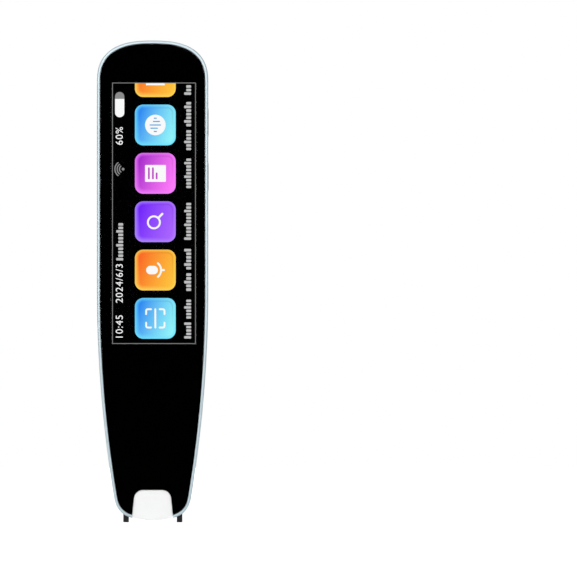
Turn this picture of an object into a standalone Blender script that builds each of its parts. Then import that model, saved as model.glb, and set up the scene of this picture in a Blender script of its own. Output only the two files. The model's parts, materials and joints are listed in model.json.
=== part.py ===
"""A hand-held scanning pen: a strip-screen pen that reads a printed line through its clear nose.

The pen stands on its two feet with its length along +Z. Its screen faces -Y, its loudspeaker faces +Y
and its two side keys are on +X. The origin is under the middle of the feet. Sizes are in metres.
"""

import math

import bmesh
import bpy
from mathutils import Matrix, Vector

MM = 0.001

# Driving sizes of the housing
LENGTH = 150.0 * MM
BODY_WIDTH = 34.6 * MM
BODY_DEPTH = 12.4 * MM
NOSE_LIFT = 0.9 * MM
FIT = 0.3 * MM
SMALL_FIT = 0.15 * MM
SEAM_GAP = 0.2 * MM
OVERRUN = 4.0 * MM
WELD = 0.005 * MM
SHARP_ANGLE = math.radians(35)
ROUND_SIDES = 32
SMALL_SIDES = 12
BAND_STEPS = 12

# Outline of the housing seen from the front
CROWN_HEIGHT = 13.2 * MM
CROWN_POWER = 2.6
CHIN_HEIGHT = 7.6 * MM
CHIN_POWER = 3.0
TAPER_TOP = 72.0 * MM
TAPER_FOOT = 8.0 * MM
NOSE_BESIDE_FOOT = 3.67 * MM
CROWN_STEPS = 10
CHIN_STEPS = 8
TAPER_STEPS = 8

# Rear cover: its flank rolls from the seam to the flat back, and the back thins towards the nose
COVER_WALL = 1.4 * MM
FLANK_SIDE = 6.6 * MM
FLANK_CROWN = 6.6 * MM
FLANK_CHIN = 4.6 * MM
FLANK_POWER = 2.3
FLANK_STEPS = 6
NOSE_SLIM = 2.7 * MM
NOSE_SLIM_TOP = 45.0 * MM

# Side frame: the pale ring that holds the glass, with a tongue that locates the rear cover
RIM_WIDTH = 0.95 * MM
RIM_DROP = 0.7 * MM
RIM_BEHIND_GLASS = 0.1 * MM
RIM_STEPS = 4
FRAME_DEPTH = 2.9 * MM
TONGUE_LENGTH = 1.1 * MM
TONGUE_WALL = 0.8 * MM
TONGUE_FIT = 0.2 * MM

# Cover glass
GLASS_THICKNESS = 0.9 * MM
GLASS_EDGE_ROUND = 0.3 * MM
GLASS_GAP = 0.15 * MM
GLASS_ROUND_STEPS = 2

# Notch in the nose, where the scan head looks out
NOTCH_TOP = 10.2 * MM
NOTCH_HEAD_WIDTH = 11.0 * MM
NOTCH_FOOT_WIDTH = 13.0 * MM
NOTCH_RADIUS = 2.8 * MM
NOTCH_RADIUS_STEPS = 5
NOTCH_WALL = 0.5 * MM
NOTCH_WALL_SHY = 0.1 * MM

# Clear hood in the notch, with its window and centre mark
HOOD_WALL = 0.8 * MM
HOOD_FIT = 0.15 * MM
HOOD_FOOT_SAG = 0.9 * MM
SCAN_SLOT_DEPTH = 3.4 * MM
HOOD_FOOT_STEPS = 8
HOOD_RECESS = 0.15 * MM
MARK_WIDTH = 0.42 * MM
MARK_HEIGHT = 3.2 * MM
MARK_DEPTH = 0.3 * MM

# Trim plate above the notch on the back
NOSE_PLATE_WIDTH = 11.4 * MM
NOSE_PLATE_HEIGHT = 4.0 * MM
NOSE_PLATE_RAISE = 0.4 * MM
NOSE_PLATE_THICKNESS = 0.6 * MM
NOSE_PLATE_RECESS = 0.05 * MM
NOSE_PLATE_GAP = 0.15 * MM

# Loudspeaker: grille, gasket, basket and cone
SPEAKER_BELOW_CROWN = 20.0 * MM
GRILLE_RADIUS = 10.15 * MM
GRILLE_GROOVE = 0.4 * MM
GRILLE_THICKNESS = 0.7 * MM
GRILLE_SEAT = 1.9 * MM
GRILLE_SIDES = 48
MESH_THICKNESS = 0.15 * MM
GRILLE_HOLE_RADIUS = 0.45 * MM
GRILLE_RING_RADII = (3.83 * MM, 5.76 * MM, 7.65 * MM)
GRILLE_RING_COUNTS = (16, 16, 8)
GRILLE_HOLE_SIDES = 8
DRIVER_RADIUS = 9.0 * MM
DRIVER_RIM = 1.2 * MM
DRIVER_DEPTH = 1.9 * MM
DRIVER_WALL = 0.5 * MM
MAGNET_RADIUS = 5.0 * MM
MAGNET_DROP = 1.0 * MM
CONE_THICKNESS = 0.25 * MM
CONE_DOME_RADIUS = 3.0 * MM
CONE_DEPTH = 0.7 * MM
GASKET_THICKNESS = 0.5 * MM
GASKET_WIDTH = 1.1 * MM

# Side keys and their switches
POWER_KEY_BELOW_CROWN = 25.4 * MM
FUNCTION_KEY_BELOW_CROWN = 42.4 * MM
KEY_LENGTH = 9.9 * MM
KEY_WIDTH = 3.2 * MM
KEY_BEHIND_MIDDLE = 0.9 * MM
KEY_PROUD = 0.25 * MM
KEY_TRAVEL = 0.4 * MM
KEY_CLEARANCE = 0.15 * MM
KEY_FLANGE_LENGTH = 12.3 * MM
KEY_FLANGE_WIDTH = 1.6 * MM
KEY_FLANGE_THICKNESS = 0.7 * MM
KEY_END_STEPS = 6
SWITCH_LENGTH = 6.0 * MM
SWITCH_WIDTH = 2.0 * MM
SWITCH_DEPTH = 2.4 * MM
PLUNGER_RADIUS = 0.5 * MM
PLUNGER_SUNK = 0.5 * MM
PLUNGER_CLEARANCE = 0.15 * MM

# Microphone behind its pinhole, between the keys
MIC_BELOW_CROWN = 33.8 * MM
MIC_HOLE_RADIUS = 0.55 * MM
MIC_SIZE = (1.8 * MM, 1.9 * MM, 3.0 * MM)

# Scan trigger: one yoke with two feet that the paper pushes in
FOOT_SPACING = 16.7 * MM
FOOT_WIDTH = 1.75 * MM
FOOT_DEPTH = 1.9 * MM
FOOT_EDGE_ROUND = 0.2 * MM
LEG_WIDTH = 2.2 * MM
LEG_FOOT = 1.9 * MM
LEG_TOP = 8.7 * MM
LEG_FRONT = 0.3 * MM
LEG_CLEARANCE = 0.15 * MM
LEG_RECESS = 0.15 * MM
LEG_END_STEPS = 5
TRIGGER_TRAVEL = 0.6 * MM
YOKE_LEG_WIDTH = 1.6 * MM
YOKE_FOOT = 11.9 * MM
YOKE_HEIGHT = 2.2 * MM
YOKE_THICKNESS = 1.2 * MM
PEG_RADIUS = 0.45 * MM
PEG_HEIGHT = 1.2 * MM
TRIGGER_SWITCH_WIDTH = 5.2 * MM
TRIGGER_SWITCH_HEIGHT = 2.8 * MM
TRIGGER_SWITCH_DEPTH = 1.6 * MM
BRACKET_THICKNESS = 0.8 * MM
BRACKET_WIDTH = 19.0 * MM
BRACKET_DEPTH = 3.6 * MM
EAR_WIDTH = 4.0 * MM
EAR_HEIGHT = 4.4 * MM
SPRING_RADIUS = 0.85 * MM
SPRING_WIRE_RADIUS = 0.15 * MM
SPRING_SPACING = 12.0 * MM
SPRING_TURNS = 5
SPRING_POINTS_A_TURN = 10

# Scan camera and its lights
CAMERA_BEHIND_GLASS = 3.0 * MM
CAMERA_FOOT = 11.3 * MM
BARREL_RADIUS = 2.2 * MM
BARREL_STEP = 0.4 * MM
BARREL_LENGTH = 4.3 * MM
LENS_RADIUS = 1.4 * MM
LENS_CROWN = 0.3 * MM
LENS_SUNK = 0.7 * MM
LENS_STEPS = 4
BARREL_SEAT = 0.3 * MM
HOLDER_WIDTH = 6.2 * MM
HOLDER_DEPTH = 4.4 * MM
HOLDER_HEIGHT = 3.4 * MM
SENSOR_BOARD_WIDTH = 8.6 * MM
SENSOR_BOARD_DEPTH = 4.4 * MM
THIN_BOARD = 0.6 * MM
LAMP_BOARD_WIDTH = 11.4 * MM
LAMP_BOARD_DEPTH = 4.2 * MM
LAMP_BOARD_FOOT = 12.6 * MM
LAMP_SPACING = 8.6 * MM
LAMP_SIZE = 1.4 * MM
LAMP_HEIGHT = 0.6 * MM
LAMP_BOARD_FIT = 0.2 * MM
LIGHT_WINDOW_WIDTH = 9.0 * MM
LIGHT_WINDOW_DEPTH = 3.6 * MM

# Screen module and its flex
SCREEN_SIDE_MARGIN = 1.3 * MM
SCREEN_OFFSET = 0.5 * MM
SCREEN_BELOW_CROWN = 11.4 * MM
SCREEN_FOOT = 54.0 * MM
SCREEN_THICKNESS = 1.9 * MM
SCREEN_EDGE_ROUND = 0.3 * MM
FLEX_WIDTH = 12.0 * MM
FLEX_THICKNESS = 0.15 * MM
FLEX_RISE = 0.5 * MM
FLEX_TAIL = 4.0 * MM
FLEX_BEND_STEPS = 8
SCAN_FLEX_WIDTH = 7.0 * MM
SCAN_FLEX_LAP = 3.0 * MM

# Chassis plate, posts and screws
CHASSIS_THICKNESS = 0.8 * MM
CHASSIS_BELOW_CROWN = 13.2 * MM
POST_RADIUS = 1.7 * MM
POST_HEIGHT = 0.8 * MM
SCREW_RADIUS = 0.6 * MM
SCREW_CLEARANCE = 0.2 * MM
SCREW_HEAD_RADIUS = 1.15 * MM
SCREW_HEAD_FLAT_RADIUS = 0.92 * MM
SCREW_RECESS_RADIUS = 0.575 * MM
SCREW_HEAD_HEIGHT = 0.6 * MM
SCREW_SIDE_INSET = 6.8 * MM
SCREW_ROW_MARGIN = 3.2 * MM

# Main board and what is on it
BOARD_THICKNESS = 0.8 * MM
BOARD_LENGTH = 61.5 * MM
BOARD_BELOW_CROWN = 5.5 * MM
SHIELD_SIZE = (13.0 * MM, 1.5 * MM, 13.0 * MM)
SHIELD_ABOVE_FOOT = 13.0 * MM
MEMORY_SIZE = (8.0 * MM, 1.0 * MM, 9.0 * MM)
MEMORY_ABOVE_FOOT = 27.0 * MM
CHIP_EDGE_ROUND = 0.2 * MM

# Charging socket in the crown
SOCKET_WIDTH = 8.9 * MM
SOCKET_HEIGHT = 3.2 * MM
SOCKET_LENGTH = 7.0 * MM
SOCKET_WALL = 0.3 * MM
SOCKET_SUNK = 1.2 * MM
SOCKET_END_STEPS = 6
SOCKET_CLEARANCE = 0.2 * MM
SOCKET_TONGUE_WIDTH = 6.7 * MM
SOCKET_TONGUE_THICKNESS = 0.7 * MM
SOCKET_TONGUE_SHORT = 1.2 * MM
SOCKET_BASE_LENGTH = 1.75 * MM

# Battery and aerial
BATTERY_SIDE_INSET = 6.3 * MM
BATTERY_FOOT = 36.0 * MM
BATTERY_EDGE_ROUND = 0.8 * MM
BATTERY_BACK_CLEARANCE = 0.9 * MM
CAP_HEIGHT = 1.6 * MM
CAP_DEPTH = 3.0 * MM
AERIAL_WIDTH = 14.0 * MM
AERIAL_HEIGHT = 18.0 * MM
AERIAL_THICKNESS = 0.2 * MM
AERIAL_BELOW_SPEAKER = 3.0 * MM

# Depths worked out from the driving sizes, from the glass to the back
HALF_WIDTH = BODY_WIDTH / 2
FRONT = -BODY_DEPTH / 2
BACK = BODY_DEPTH / 2
GLASS_BACK = FRONT + GLASS_THICKNESS
FRAME_BACK = FRONT + FRAME_DEPTH
COVER_FRONT = FRAME_BACK + SEAM_GAP
COVER_INSIDE = BACK - COVER_WALL
TONGUE_INSET = COVER_WALL + TONGUE_FIT
LEDGE_INSET = TONGUE_INSET + TONGUE_WALL
SCREEN_FRONT = GLASS_BACK + FIT
SCREEN_BACK = SCREEN_FRONT + SCREEN_THICKNESS
CHASSIS_FRONT = SCREEN_BACK + FIT
CHASSIS_BACK = CHASSIS_FRONT + CHASSIS_THICKNESS
CHASSIS_INSET = LEDGE_INSET + FIT
BOARD_FRONT = CHASSIS_BACK + POST_HEIGHT + FIT
BOARD_BACK = BOARD_FRONT + BOARD_THICKNESS
ON_BOARD = BOARD_BACK + FIT
CAMERA_AXIS = GLASS_BACK + CAMERA_BEHIND_GLASS
SWITCH_MIDDLE = ON_BOARD + SWITCH_WIDTH / 2
GRILLE_BACK = BACK - GRILLE_THICKNESS
GASKET_BACK = COVER_INSIDE - FIT
DRIVER_FACE = GASKET_BACK - GASKET_THICKNESS - FIT

# Widths worked out from the driving sizes
NOSE_WIDTH = FOOT_SPACING + 2 * NOSE_BESIDE_FOOT
TAPER_INSET = (BODY_WIDTH - NOSE_WIDTH) / 2

# Heights worked out from the driving sizes, from the nose to the crown
CROWN_BASE = LENGTH - CROWN_HEIGHT
CHIN_TOP = NOSE_LIFT + CHIN_HEIGHT
YOKE_TOP = YOKE_FOOT + YOKE_HEIGHT
HOLDER_FOOT = CAMERA_FOOT + BARREL_LENGTH
SENSOR_BOARD_TOP = HOLDER_FOOT + HOLDER_HEIGHT + FIT + THIN_BOARD
BRACKET_FOOT = SENSOR_BOARD_TOP + FIT
BRACKET_TOP = BRACKET_FOOT + BRACKET_THICKNESS
TRIGGER_SWITCH_FOOT = BRACKET_FOOT - FIT - TRIGGER_SWITCH_HEIGHT
CHASSIS_TOP = LENGTH - CHASSIS_BELOW_CROWN
SCREEN_TOP = LENGTH - SCREEN_BELOW_CROWN
BOARD_TOP = LENGTH - BOARD_BELOW_CROWN
BOARD_FOOT = BOARD_TOP - BOARD_LENGTH
BATTERY_TOP = BOARD_FOOT - CAP_HEIGHT - 2 * FIT
SPEAKER_Z = LENGTH - SPEAKER_BELOW_CROWN
MIC_Z = LENGTH - MIC_BELOW_CROWN
SCREW_ROWS = (BOARD_FOOT + SCREW_ROW_MARGIN, CHASSIS_TOP - SCREW_ROW_MARGIN)
EAR_SCREW_Z = BRACKET_FOOT + EAR_HEIGHT / 2

# Depths and reaches of the moving pieces
YOKE_FRONT = LEG_FRONT + LEG_RECESS
YOKE_MIDDLE = YOKE_FRONT + YOKE_THICKNESS / 2
FOOT_FRONT = LEG_FRONT + 2 * LEG_RECESS
EAR_SCREW_X = (BRACKET_WIDTH - EAR_WIDTH) / 2
BOARD_SCREW_X = HALF_WIDTH - SCREW_SIDE_INSET
SOCKET_TOP = LENGTH - SOCKET_SUNK
SOCKET_Y = ON_BOARD + SOCKET_HEIGHT / 2
KEYS = (("power_key", LENGTH - POWER_KEY_BELOW_CROWN), ("function_key", LENGTH - FUNCTION_KEY_BELOW_CROWN))
SIDES = (("left", -1), ("right", 1))
AXIS_TURNS = {
    "X": (math.radians(90), 0, math.radians(90)),
    "Y": (math.radians(90), 0, 0),
    "Z": (0, 0, 0),
}

# Colours
BLACK_PLASTIC = (0.022, 0.022, 0.023)
KEY_BLACK = (0.012, 0.012, 0.013)
PALE_BLUE_METAL = (0.48, 0.60, 0.64)
GLASS_BLACK = (0.002, 0.002, 0.003)
CLEAR = (0.92, 0.94, 0.95)
FROSTED = (0.90, 0.90, 0.90)
SCREEN_GREY = (0.03, 0.03, 0.035)
CHASSIS_GREY = (0.25, 0.26, 0.27)
BOARD_GREEN = (0.02, 0.10, 0.05)
STEEL = (0.55, 0.56, 0.57)
BATTERY_SILVER = (0.45, 0.46, 0.48)
COPPER = (0.60, 0.33, 0.15)
LENS_BLUE = (0.08, 0.10, 0.16)
LAMP_WHITE = (0.85, 0.83, 0.72)
TRIM_BLACK = (0.030, 0.030, 0.031)
FOOT_GREY = (0.035, 0.036, 0.038)
FOAM_GREY = (0.08, 0.08, 0.08)
CONE_GREY = (0.05, 0.05, 0.05)


def clear_scene():
    """Empty the scene and make the two collections, one for the pen and one for its cutters."""
    for obj in list(bpy.data.objects):
        bpy.data.objects.remove(obj)
    for name in ("scanning_pen", "cutters"):
        group = bpy.data.collections.new(name)
        bpy.context.scene.collection.children.link(group)


def material(name, colour, roughness, metallic=0.0, alpha=1.0):
    """A Principled material, made once and shared by the pieces that have that finish."""
    made = bpy.data.materials.get(name)
    if made:
        return made
    made = bpy.data.materials.new(name)
    made.use_nodes = True
    shader = made.node_tree.nodes["Principled BSDF"]
    shader.inputs["Base Color"].default_value = (*colour, 1.0)
    shader.inputs["Roughness"].default_value = roughness
    shader.inputs["Metallic"].default_value = metallic
    shader.inputs["Alpha"].default_value = alpha
    made.diffuse_color = (*colour, alpha)
    return made


def add(name, data, finish=None):
    """Put a mesh or curve in the scene: a piece of the pen if it has a finish, and a cutter if not."""
    obj = bpy.data.objects.new(name, data)
    if finish:
        data.materials.append(finish)
        bpy.data.collections["scanning_pen"].objects.link(obj)
    else:
        bpy.data.collections["cutters"].objects.link(obj)
        obj.hide_render = True
        obj.display_type = "WIRE"
    return obj


def from_bmesh(name, bm, finish=None):
    """Turn a bmesh into an object with its faces pointing out and its round sides smooth."""
    bmesh.ops.recalc_face_normals(bm, faces=bm.faces)
    mesh = bpy.data.meshes.new(name)
    bm.to_mesh(mesh)
    bm.free()
    mesh.shade_smooth()
    mesh.set_sharp_from_angle(angle=SHARP_ANGLE)
    return add(name, mesh, finish)


def bevel(obj, width, segments=2):
    """Round the sharp edges of a piece."""
    modifier = obj.modifiers.new("round_edges", "BEVEL")
    modifier.width = width
    modifier.segments = segments
    modifier.limit_method = "ANGLE"
    modifier.angle_limit = SHARP_ANGLE
    return obj


def boolean(obj, other, operation):
    """Cut, join or intersect a piece with another mesh."""
    modifier = obj.modifiers.new(other.name, "BOOLEAN")
    modifier.operation = operation
    modifier.object = other
    return obj


def cut(obj, *cutters):
    """Take the cutters' volumes out of a piece."""
    for cutter in cutters:
        boolean(obj, cutter, "DIFFERENCE")
    return obj


def join(obj, *helpers):
    """Make the helpers' volumes part of a piece."""
    for helper in helpers:
        boolean(obj, helper, "UNION")
    return obj


def keep_inside(obj, helper):
    """Keep only what lies inside a helper."""
    return boolean(obj, helper, "INTERSECT")


def block(name, low, high, finish=None, round_edge=0.0):
    """A box between two corners, with its origin in its middle."""
    low, high = Vector(low), Vector(high)
    bm = bmesh.new()
    bmesh.ops.create_cube(bm, size=1.0, matrix=Matrix.Diagonal((*(high - low), 1.0)))
    obj = from_bmesh(name, bm, finish)
    obj.location = (low + high) / 2
    if round_edge:
        bevel(obj, round_edge)
    return obj


def turn_towards(obj, axis):
    """Turn a piece whose own axis is Z so that it points along a world axis."""
    obj.rotation_euler = Vector(axis).to_track_quat("Z", "Y").to_euler()
    return obj


def rod(name, start, end, radius, finish=None, sides=ROUND_SIDES):
    """A round bar from one point to another."""
    start, end = Vector(start), Vector(end)
    bm = bmesh.new()
    bmesh.ops.create_cone(
        bm, cap_ends=True, segments=sides, radius1=radius, radius2=radius, depth=(end - start).length
    )
    obj = from_bmesh(name, bm, finish)
    obj.location = (start + end) / 2
    return turn_towards(obj, end - start)


def turned(name, profile, place, axis, finish, steps=ROUND_SIDES):
    """A turned piece. Its profile of (radius, height) pairs runs down the outer side."""
    ring = all(radius > 0 for radius, _ in profile)
    bm = bmesh.new()
    points = [bm.verts.new((radius, 0, height)) for radius, height in profile]
    for start, end in zip(points, points[1:] + points[:1] if ring else points[1:]):
        bm.edges.new((start, end))
    mesh = bpy.data.meshes.new(name)
    bm.to_mesh(mesh)
    bm.free()
    obj = add(name, mesh, finish)
    screw = obj.modifiers.new("turn", "SCREW")
    screw.steps = screw.render_steps = steps
    screw.use_merge_vertices = True
    screw.merge_threshold = WELD
    obj.location = place
    return turn_towards(obj, axis)


def prism(name, rings, low, high, axis="Y", finish=None, place=(0, 0)):
    """A flat plate along a world axis: a filled 2D curve of an outline and its holes, made a mesh."""
    curve = bpy.data.curves.new(name, "CURVE")
    curve.dimensions = "2D"
    curve.fill_mode = "BOTH"
    curve.extrude = (high - low) / 2
    for ring in rings:
        spline = curve.splines.new("POLY")
        spline.points.add(len(ring) - 1)
        for point, (across, along) in zip(spline.points, ring):
            point.co = (across, along, 0, 1)
        spline.use_cyclic_u = True
    flat = bpy.data.objects.new(name + "_outline", curve)
    bpy.context.scene.collection.objects.link(flat)
    graph = bpy.context.evaluated_depsgraph_get()
    bm = bmesh.new()
    bm.from_mesh(bpy.data.meshes.new_from_object(flat.evaluated_get(graph)))
    bmesh.ops.remove_doubles(bm, verts=bm.verts, dist=WELD)
    bpy.data.objects.remove(flat)
    obj = from_bmesh(name, bm, finish)
    obj.rotation_euler = AXIS_TURNS[axis]
    places = list(place)
    places.insert("XYZ".index(axis), (low + high) / 2)
    obj.location = places
    return obj


def slide(name, place, pieces):
    """Hang moving pieces on an empty that lies on their joint's axis."""
    empty = bpy.data.objects.new(name, None)
    empty.location = place
    bpy.data.collections["scanning_pen"].objects.link(empty)
    for piece in pieces:
        piece.parent = empty
        piece.location = piece.location - empty.location


def circle(radius, sides=ROUND_SIDES, middle=(0, 0)):
    """A round outline."""
    turns = [math.tau * step / sides for step in range(sides)]
    return [(middle[0] + radius * math.cos(a), middle[1] + radius * math.sin(a)) for a in turns]


def stadium(length, width, steps):
    """A slot's outline about the origin, long along the second axis, with round ends."""
    radius = width / 2
    reach = length / 2 - radius
    points = []
    for end in (1, -1):
        for step in range(steps + 1):
            angle = math.pi * step / steps
            points.append((end * radius * math.cos(angle), end * (reach + radius * math.sin(angle))))
    return points


def half_width(z, inset=0.0):
    """Half the housing's width at a height, before the crown and the chin close it."""
    share = max(0.0, (TAPER_TOP - z) / (TAPER_TOP - TAPER_FOOT))
    return HALF_WIDTH - inset - TAPER_INSET * share**2


def end_curve(base, height, power, steps, inset):
    """Points (x, z) from a straight side to the tip of a rounded end; a chin has a negative height."""
    points = []
    for step in range(steps):
        angle = math.pi / 2 * step / steps
        z = base + height * math.sin(angle) ** (2 / power)
        points.append((half_width(z, inset) * math.cos(angle) ** (2 / power), z))
    return points + [(0.0, base + height)]


def outline(side, crown, chin):
    """The housing's outline, drawn in by these insets: from the chin up the right side and back."""
    low = end_curve(CHIN_TOP, chin - CHIN_HEIGHT, CHIN_POWER, CHIN_STEPS, side)
    high = end_curve(CROWN_BASE, CROWN_HEIGHT - crown, CROWN_POWER, CROWN_STEPS, side)
    rows = [CHIN_TOP + (TAPER_TOP - CHIN_TOP) * (step + 1) / TAPER_STEPS for step in range(TAPER_STEPS)]
    right = low[::-1] + [(half_width(z, side), z) for z in rows] + high
    return right + [(-x, z) for x, z in right[-2:0:-1]]


def even_outline(inset):
    """The outline drawn in by the same inset all round."""
    return outline(inset, inset, inset)


def band(inset, low, high):
    """The part of the housing's inner outline that lies between two heights, for boards and plates."""
    right = []
    for step in range(BAND_STEPS + 1):
        z = low + (high - low) * step / BAND_STEPS
        share = max(0.0, (z - CROWN_BASE) / (CROWN_HEIGHT - inset))
        closing = (1 - share**CROWN_POWER) ** (1 / CROWN_POWER)
        right.append((half_width(z, inset) * closing, z))
    return right + [(-x, z) for x, z in right[::-1]]


def ring_at(points, y):
    """Lift an outline to a depth."""
    return [(x, y, z) for x, z in points]


def cap(bm, ring):
    """Close a symmetric ring with strips that run from side to side."""
    half = len(ring) // 2
    bm.faces.new((ring[0], ring[1], ring[-1]))
    for step in range(1, half - 1):
        bm.faces.new((ring[step], ring[step + 1], ring[-step - 1], ring[-step]))
    bm.faces.new((ring[half - 1], ring[half], ring[half + 1]))


def loft(name, rings, finish=None, hoop=False):
    """Join rings of equal length into a skin, with a cap on each end unless it is a hoop."""
    bm = bmesh.new()
    loops = [[bm.verts.new(point) for point in ring] for ring in rings]
    for near, far in zip(loops, loops[1:] + loops[:1] if hoop else loops[1:]):
        for step, corner in enumerate(near):
            bm.faces.new((near[step - 1], corner, far[step], far[step - 1]))
    if not hoop:
        cap(bm, loops[0])
        cap(bm, loops[-1])
    return from_bmesh(name, bm, finish)


def slimming(z):
    """How much nearer the front the back lies at a height, as the nose thins."""
    return NOSE_SLIM * max(0.0, (NOSE_SLIM_TOP - z) / NOSE_SLIM_TOP) ** 2


def flank_ring(offset, step):
    """One ring of the rolled flank, on a skin that lies this far inside the outer one."""
    angle = math.pi / 2 * step / FLANK_STEPS
    across = math.cos(angle) ** (2 / FLANK_POWER) if step < FLANK_STEPS else 0.0
    along = math.sin(angle) ** (2 / FLANK_POWER)
    flanks = (FLANK_SIDE, FLANK_CROWN, FLANK_CHIN)
    insets = [offset + (flank - offset) * (1 - across) for flank in flanks]
    return [
        (x, COVER_FRONT + along * (BACK - offset - slimming(z) - COVER_FRONT), z)
        for x, z in outline(*insets)
    ]


def flank_reach(offset, y):
    """How far out a skin of the flank lies at a depth, on the straight part of the sides."""
    along = (y - COVER_FRONT) / (BACK - offset - COVER_FRONT)
    across = (1 - along**FLANK_POWER) ** (1 / FLANK_POWER)
    return HALF_WIDTH - offset - (FLANK_SIDE - offset) * (1 - across)


# Reaches of the side keys' flanges and of the switches and board edge behind them
FLANGE_OUTER = flank_reach(COVER_WALL, KEY_BEHIND_MIDDLE + KEY_FLANGE_WIDTH / 2) - FIT
FLANGE_INNER = FLANGE_OUTER - KEY_FLANGE_THICKNESS
SWITCH_OUTER = FLANGE_INNER - KEY_TRAVEL - FIT


def housing_form(name, offset, front, finish=None):
    """The housing's whole form as one solid, drawn in by an offset and starting at a front plane."""
    rings = [ring_at(even_outline(offset), front)] if front < COVER_FRONT else []
    rings += [flank_ring(offset, step) for step in range(FLANK_STEPS + 1)]
    return loft(name, rings, finish)


def rounded(corners, radius, steps):
    """A polygon whose soft corners are arcs; its corners are (x, z, soft or not)."""
    points = []
    for index, (x, z, soft) in enumerate(corners):
        if not soft:
            points.append((x, z))
            continue
        here = Vector((x, z))
        before = (Vector(corners[index - 1][:2]) - here).normalized()
        after = (Vector(corners[(index + 1) % len(corners)][:2]) - here).normalized()
        half_angle = before.angle(after) / 2
        middle = here + (before + after).normalized() * radius / math.sin(half_angle)
        first = here + before * radius / math.tan(half_angle) - middle
        last = here + after * radius / math.tan(half_angle) - middle
        start = math.atan2(first.y, first.x)
        sweep = (math.atan2(last.y, last.x) - start + math.pi) % math.tau - math.pi
        for step in range(steps + 1):
            angle = start + sweep * step / steps
            points.append((middle.x + radius * math.cos(angle), middle.y + radius * math.sin(angle)))
    return points


def notch_outline(grow, foot):
    """The nose notch, grown or shrunk on its sides and top, and run down to a height."""
    lean = (NOTCH_FOOT_WIDTH - NOTCH_HEAD_WIDTH) / 2 / (NOTCH_TOP - NOSE_LIFT)
    head = NOTCH_HEAD_WIDTH / 2 + grow
    top = NOTCH_TOP + grow
    wide = head + lean * (top - foot)
    corners = [(wide, foot, False), (head, top, True), (-head, top, True), (-wide, foot, False)]
    return rounded(corners, NOTCH_RADIUS + grow, NOTCH_RADIUS_STEPS)


def notch_tool(name, grow, front, back):
    """A prism of the notch that runs out below the nose."""
    return prism(name, [notch_outline(grow, NOSE_LIFT - OVERRUN)], front, back)


def hood_outline():
    """The notch's outline less its fit, closed below by the curved edge of the clear nose."""
    sides = notch_outline(-HOOD_FIT, NOSE_LIFT + HOOD_FOOT_SAG)
    wide = sides[0][0]
    foot = []
    for step in range(1, HOOD_FOOT_STEPS):
        share = 1 - 2 * step / HOOD_FOOT_STEPS
        foot.append((-wide * share, NOSE_LIFT + HOOD_FOOT_SAG * share**2))
    return sides + foot


def light_window(name):
    """The opening in the notch's roof that the camera looks through."""
    return block(
        name,
        (-LIGHT_WINDOW_WIDTH / 2, CAMERA_AXIS - LIGHT_WINDOW_DEPTH / 2, NOTCH_TOP - NOTCH_RADIUS),
        (LIGHT_WINDOW_WIDTH / 2, CAMERA_AXIS + LIGHT_WINDOW_DEPTH / 2, YOKE_FOOT),
    )


def build_glass():
    """The black-edged cover glass, with its long edge rounded and the notch cut out."""
    inset = RIM_WIDTH + GLASS_GAP
    rings = []
    for step in range(GLASS_ROUND_STEPS + 1):
        angle = math.pi / 2 * step / GLASS_ROUND_STEPS
        drawn_in = inset + GLASS_EDGE_ROUND * (1 - math.sin(angle))
        rings.append(ring_at(even_outline(drawn_in), FRONT + GLASS_EDGE_ROUND * (1 - math.cos(angle))))
    rings.append(ring_at(even_outline(inset), GLASS_BACK))
    glass = loft("front_glass", rings, material("glass_black", GLASS_BLACK, 0.05))
    return cut(glass, notch_tool("glass_notch", 0, FRONT - OVERRUN, GLASS_BACK + OVERRUN))


def build_side_frame():
    """The pale ring round the glass: rounded rim, glass pocket, ledge and locating tongue."""
    seat = GLASS_BACK + GLASS_GAP
    profile = []
    for step in range(RIM_STEPS + 1):
        angle = math.pi / 2 * step / RIM_STEPS
        y = FRONT + RIM_DROP - (RIM_DROP - RIM_BEHIND_GLASS) * math.sin(angle)
        profile.append((RIM_WIDTH * (1 - math.cos(angle)), y))
    profile += [
        (RIM_WIDTH, seat),
        (LEDGE_INSET, seat),
        (LEDGE_INSET, FRAME_BACK + TONGUE_LENGTH),
        (TONGUE_INSET, FRAME_BACK + TONGUE_LENGTH),
        (TONGUE_INSET, FRAME_BACK),
        (0, FRAME_BACK),
    ]
    rings = [ring_at(even_outline(inset), y) for inset, y in profile]
    metal = material("pale_blue_metal", PALE_BLUE_METAL, 0.3, metallic=0.9)
    frame = loft("side_frame", rings, metal, hoop=True)
    wall_front, wall_back = seat + NOTCH_WALL_SHY, FRAME_BACK - NOTCH_WALL_SHY
    wall = notch_tool("frame_notch_wall", NOTCH_WALL, wall_front, wall_back)
    bounds = [ring_at(even_outline(RIM_WIDTH), y) for y in (wall_front - OVERRUN, wall_back + OVERRUN)]
    keep_inside(wall, loft("frame_notch_bounds", bounds))
    join(frame, wall)
    tongue_end = FRAME_BACK - NOTCH_WALL_SHY / 2
    return cut(
        frame,
        notch_tool("tongue_clearance", NOTCH_WALL + TONGUE_FIT, tongue_end, FRAME_BACK + OVERRUN),
        notch_tool("frame_notch", 0, FRONT - OVERRUN, FRAME_BACK + OVERRUN),
        light_window("frame_light_window"),
    )


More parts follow.
